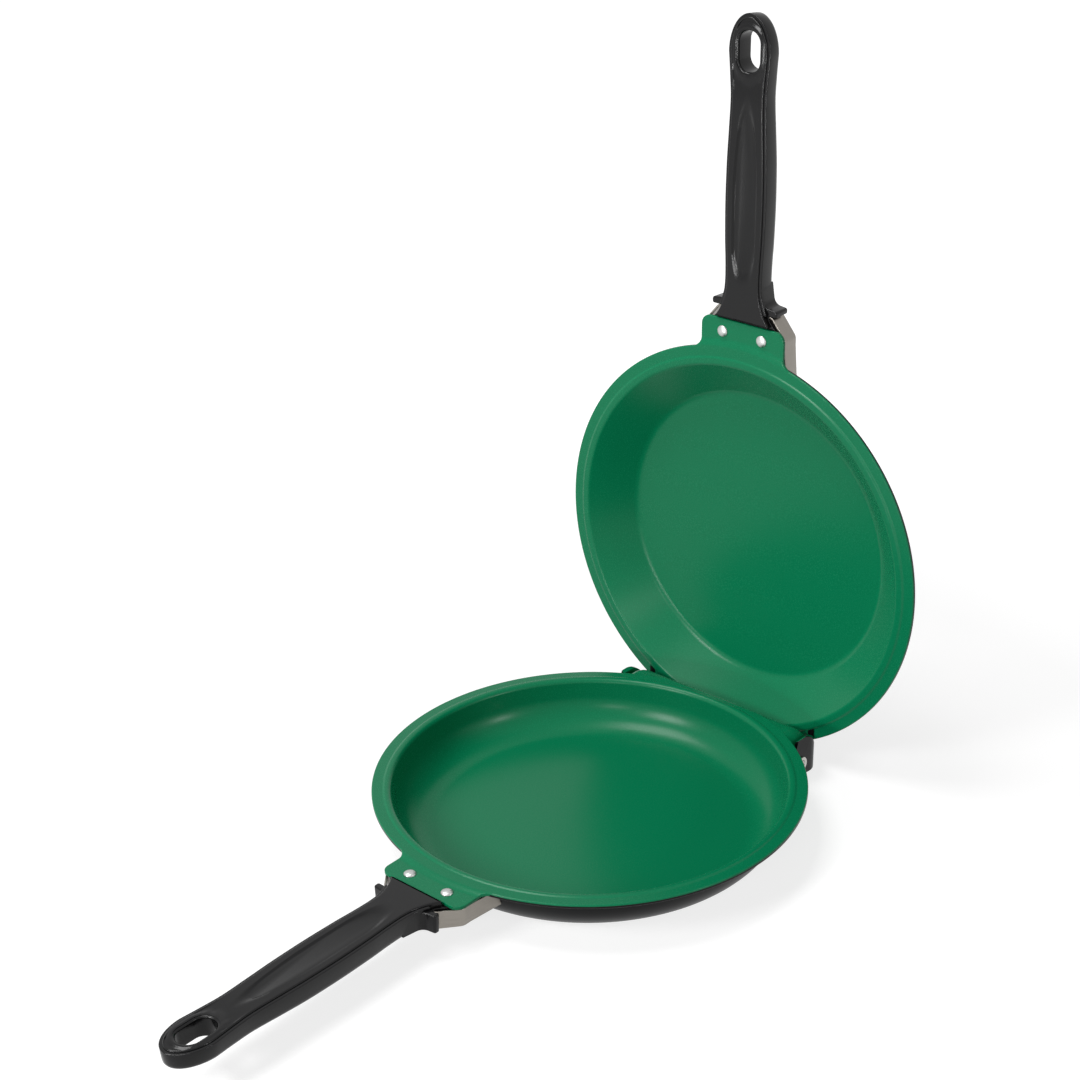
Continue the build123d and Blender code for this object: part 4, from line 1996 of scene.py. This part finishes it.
@dataclass
class Studio:
    """A pale floor, a white background, plain soft lamps and the camera."""

    image: float = 1080.0
    sensor: float = 36.0
    focal_pixels: float = 2273.0
    azimuth: float = 41.93
    elevation: float = 26.05
    roll: float = -1.41
    distance: float = 1357.4
    target: tuple[float, float, float] = (-90.28, 63.25, 131.0)
    clip: tuple[float, float] = (0.05, 50.0)
    floor_half: float = 6.0
    floor_drop: float = 0.0002
    floor_grey: float = 0.32
    floor_roughness: float = 0.9
    floor_specular: float = 0.1
    world_strength: float = 0.08
    near: float = 0.35
    far: float = 0.65
    near_glow: float = 0.78
    far_glow: float = 1.0
    lamps: tuple[Lamp, ...] = (
        Lamp("top_lamp", (-0.5, -0.3, 1.6), (0.0, 0.0, 0.0), (0.7, 0.7), 17.0),
        Lamp("low_front_lamp", (-0.1, -1.5, 0.03), (0.0, 0.12, 0.12), (0.9, 0.04), 7.0),
        Lamp("front_lamp", (-0.3, -1.35, 0.95), (0.0, 0.12, 0.15), (0.5, 0.5), 15.0),
        Lamp("streak_lamp", (0.62, -1.4, 0.75), (0.0, 0.12, 0.15), (0.3, 0.2), 2.5),
        Lamp("side_lamp", (1.5, 0.15, 0.6), (0.0, 0.0, 0.0), (0.15, 0.3), 4.0),
    )

    def camera(self) -> None:
        """Place the camera at the main viewing angle."""
        azimuth = math.radians(self.azimuth)
        elevation = math.radians(self.elevation)
        roll = math.radians(self.roll)
        level = math.cos(elevation)
        back = Vector((math.sin(azimuth) * level, -math.cos(azimuth) * level, math.sin(elevation)))
        right = Vector((math.cos(azimuth), math.sin(azimuth), 0))
        up = back.cross(right)
        turned_right = right * math.cos(roll) + up * math.sin(roll)
        turned_up = up * math.cos(roll) - right * math.sin(roll)
        data = bpy.data.cameras.new("camera")
        data.sensor_width = self.sensor
        data.lens = self.focal_pixels * self.sensor / self.image
        data.clip_start, data.clip_end = self.clip
        camera = bpy.data.objects.new("camera", data)
        place = (Vector(self.target) + back * self.distance) * MILLIMETRE
        turn = Matrix((turned_right, turned_up, back)).transposed()
        camera.matrix_world = Matrix.Translation(place) @ turn.to_4x4()
        bpy.context.scene.collection.objects.link(camera)
        bpy.context.scene.camera = camera

    def seen(self, tree: bpy.types.NodeTree) -> bpy.types.NodeSocket:
        """Add the nodes that tell what looks at the background.

        Args:
            tree: the node tree that gets them.

        Returns:
            A socket that is 1 for the camera, gloss and glass, and 0 for the light on the pan.
        """
        path = add_node(tree, "ShaderNodeLightPath").outputs
        direct = add_node(
            tree,
            "ShaderNodeMath",
            {0: path["Is Camera Ray"], 1: path["Is Glossy Ray"]},
            operation="MAXIMUM",
        )
        both = add_node(
            tree,
            "ShaderNodeMath",
            {0: direct.outputs[0], 1: path["Is Transmission Ray"]},
            operation="MAXIMUM",
        )
        return both.outputs[0]

    def world(self) -> None:
        """Light the scene softly from all round, in front of a white background."""
        world = bpy.data.worlds.new("studio")
        bpy.context.scene.world = world
        world.use_nodes = True
        tree = world.node_tree
        tree.nodes.clear()
        strength = add_node(
            tree,
            "ShaderNodeMapRange",
            {"Value": self.seen(tree), "To Min": self.world_strength, "To Max": 1.0},
        )
        background = add_node(
            tree,
            "ShaderNodeBackground",
            {"Color": (1, 1, 1, 1), "Strength": strength.outputs["Result"]},
        )
        add_node(tree, "ShaderNodeOutputWorld", {"Surface": background.outputs[0]})

    def floor(self) -> None:
        """Lay the pale floor under the pan, which turns to the background's white further out."""
        material, tree = new_material("pale_floor")
        grey = self.floor_grey
        matt = add_node(
            tree,
            "ShaderNodeBsdfPrincipled",
            {
                "Base Color": (grey, grey, grey, 1),
                "Roughness": self.floor_roughness,
                "Specular IOR Level": self.floor_specular,
            },
        )
        place = add_node(tree, "ShaderNodeTexCoord").outputs["Object"]
        away = add_node(tree, "ShaderNodeVectorMath", {0: place}, operation="LENGTH")
        glow = add_node(
            tree,
            "ShaderNodeMapRange",
            {
                "Value": away.outputs["Value"],
                "From Min": self.near,
                "From Max": self.far,
                "To Min": self.near_glow,
                "To Max": self.far_glow,
            },
        )
        white = add_node(
            tree,
            "ShaderNodeEmission",
            {"Color": (1, 1, 1, 1), "Strength": glow.outputs["Result"]},
        )
        both = add_node(tree, "ShaderNodeAddShader", {0: matt.outputs[0], 1: white.outputs[0]})
        shown = add_node(
            tree,
            "ShaderNodeMixShader",
            {0: self.seen(tree), 1: matt.outputs[0], 2: both.outputs[0]},
        )
        close_material(tree, shown)
        half = self.floor_half / MILLIMETRE
        corners = box_corners((-half, -half), (half, half))
        shape = Shape(points=[Vector((x, y, 0)) for x, y in corners])
        shape.add_face((0, 1, 2, 3))
        floor = shape.to_object("floor", Matrix.Translation((0, 0, -self.floor_drop)))
        wear(floor, material)

    def build(self) -> None:
        """Build the whole studio."""
        self.camera()
        self.world()
        self.floor()
        for lamp in self.lamps:
            lamp.build()
        bpy.context.scene.view_settings.view_transform = "Standard"


def main() -> None:
    """Build every sub-assembly in order, dress it and report it."""
    logging.basicConfig(level=logging.INFO, format="%(message)s")
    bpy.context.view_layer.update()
    Studio().build()
    finishes = Finishes.build()
    lower, upper = PanFrame().halves()
    for half in (lower, upper):
        Pan(half, finishes).build()
        Handle(half, finishes).build()
        Strap(half, finishes).build()
    Fasteners(lower, upper, finishes).build()


if __name__ == "__main__":
    main()
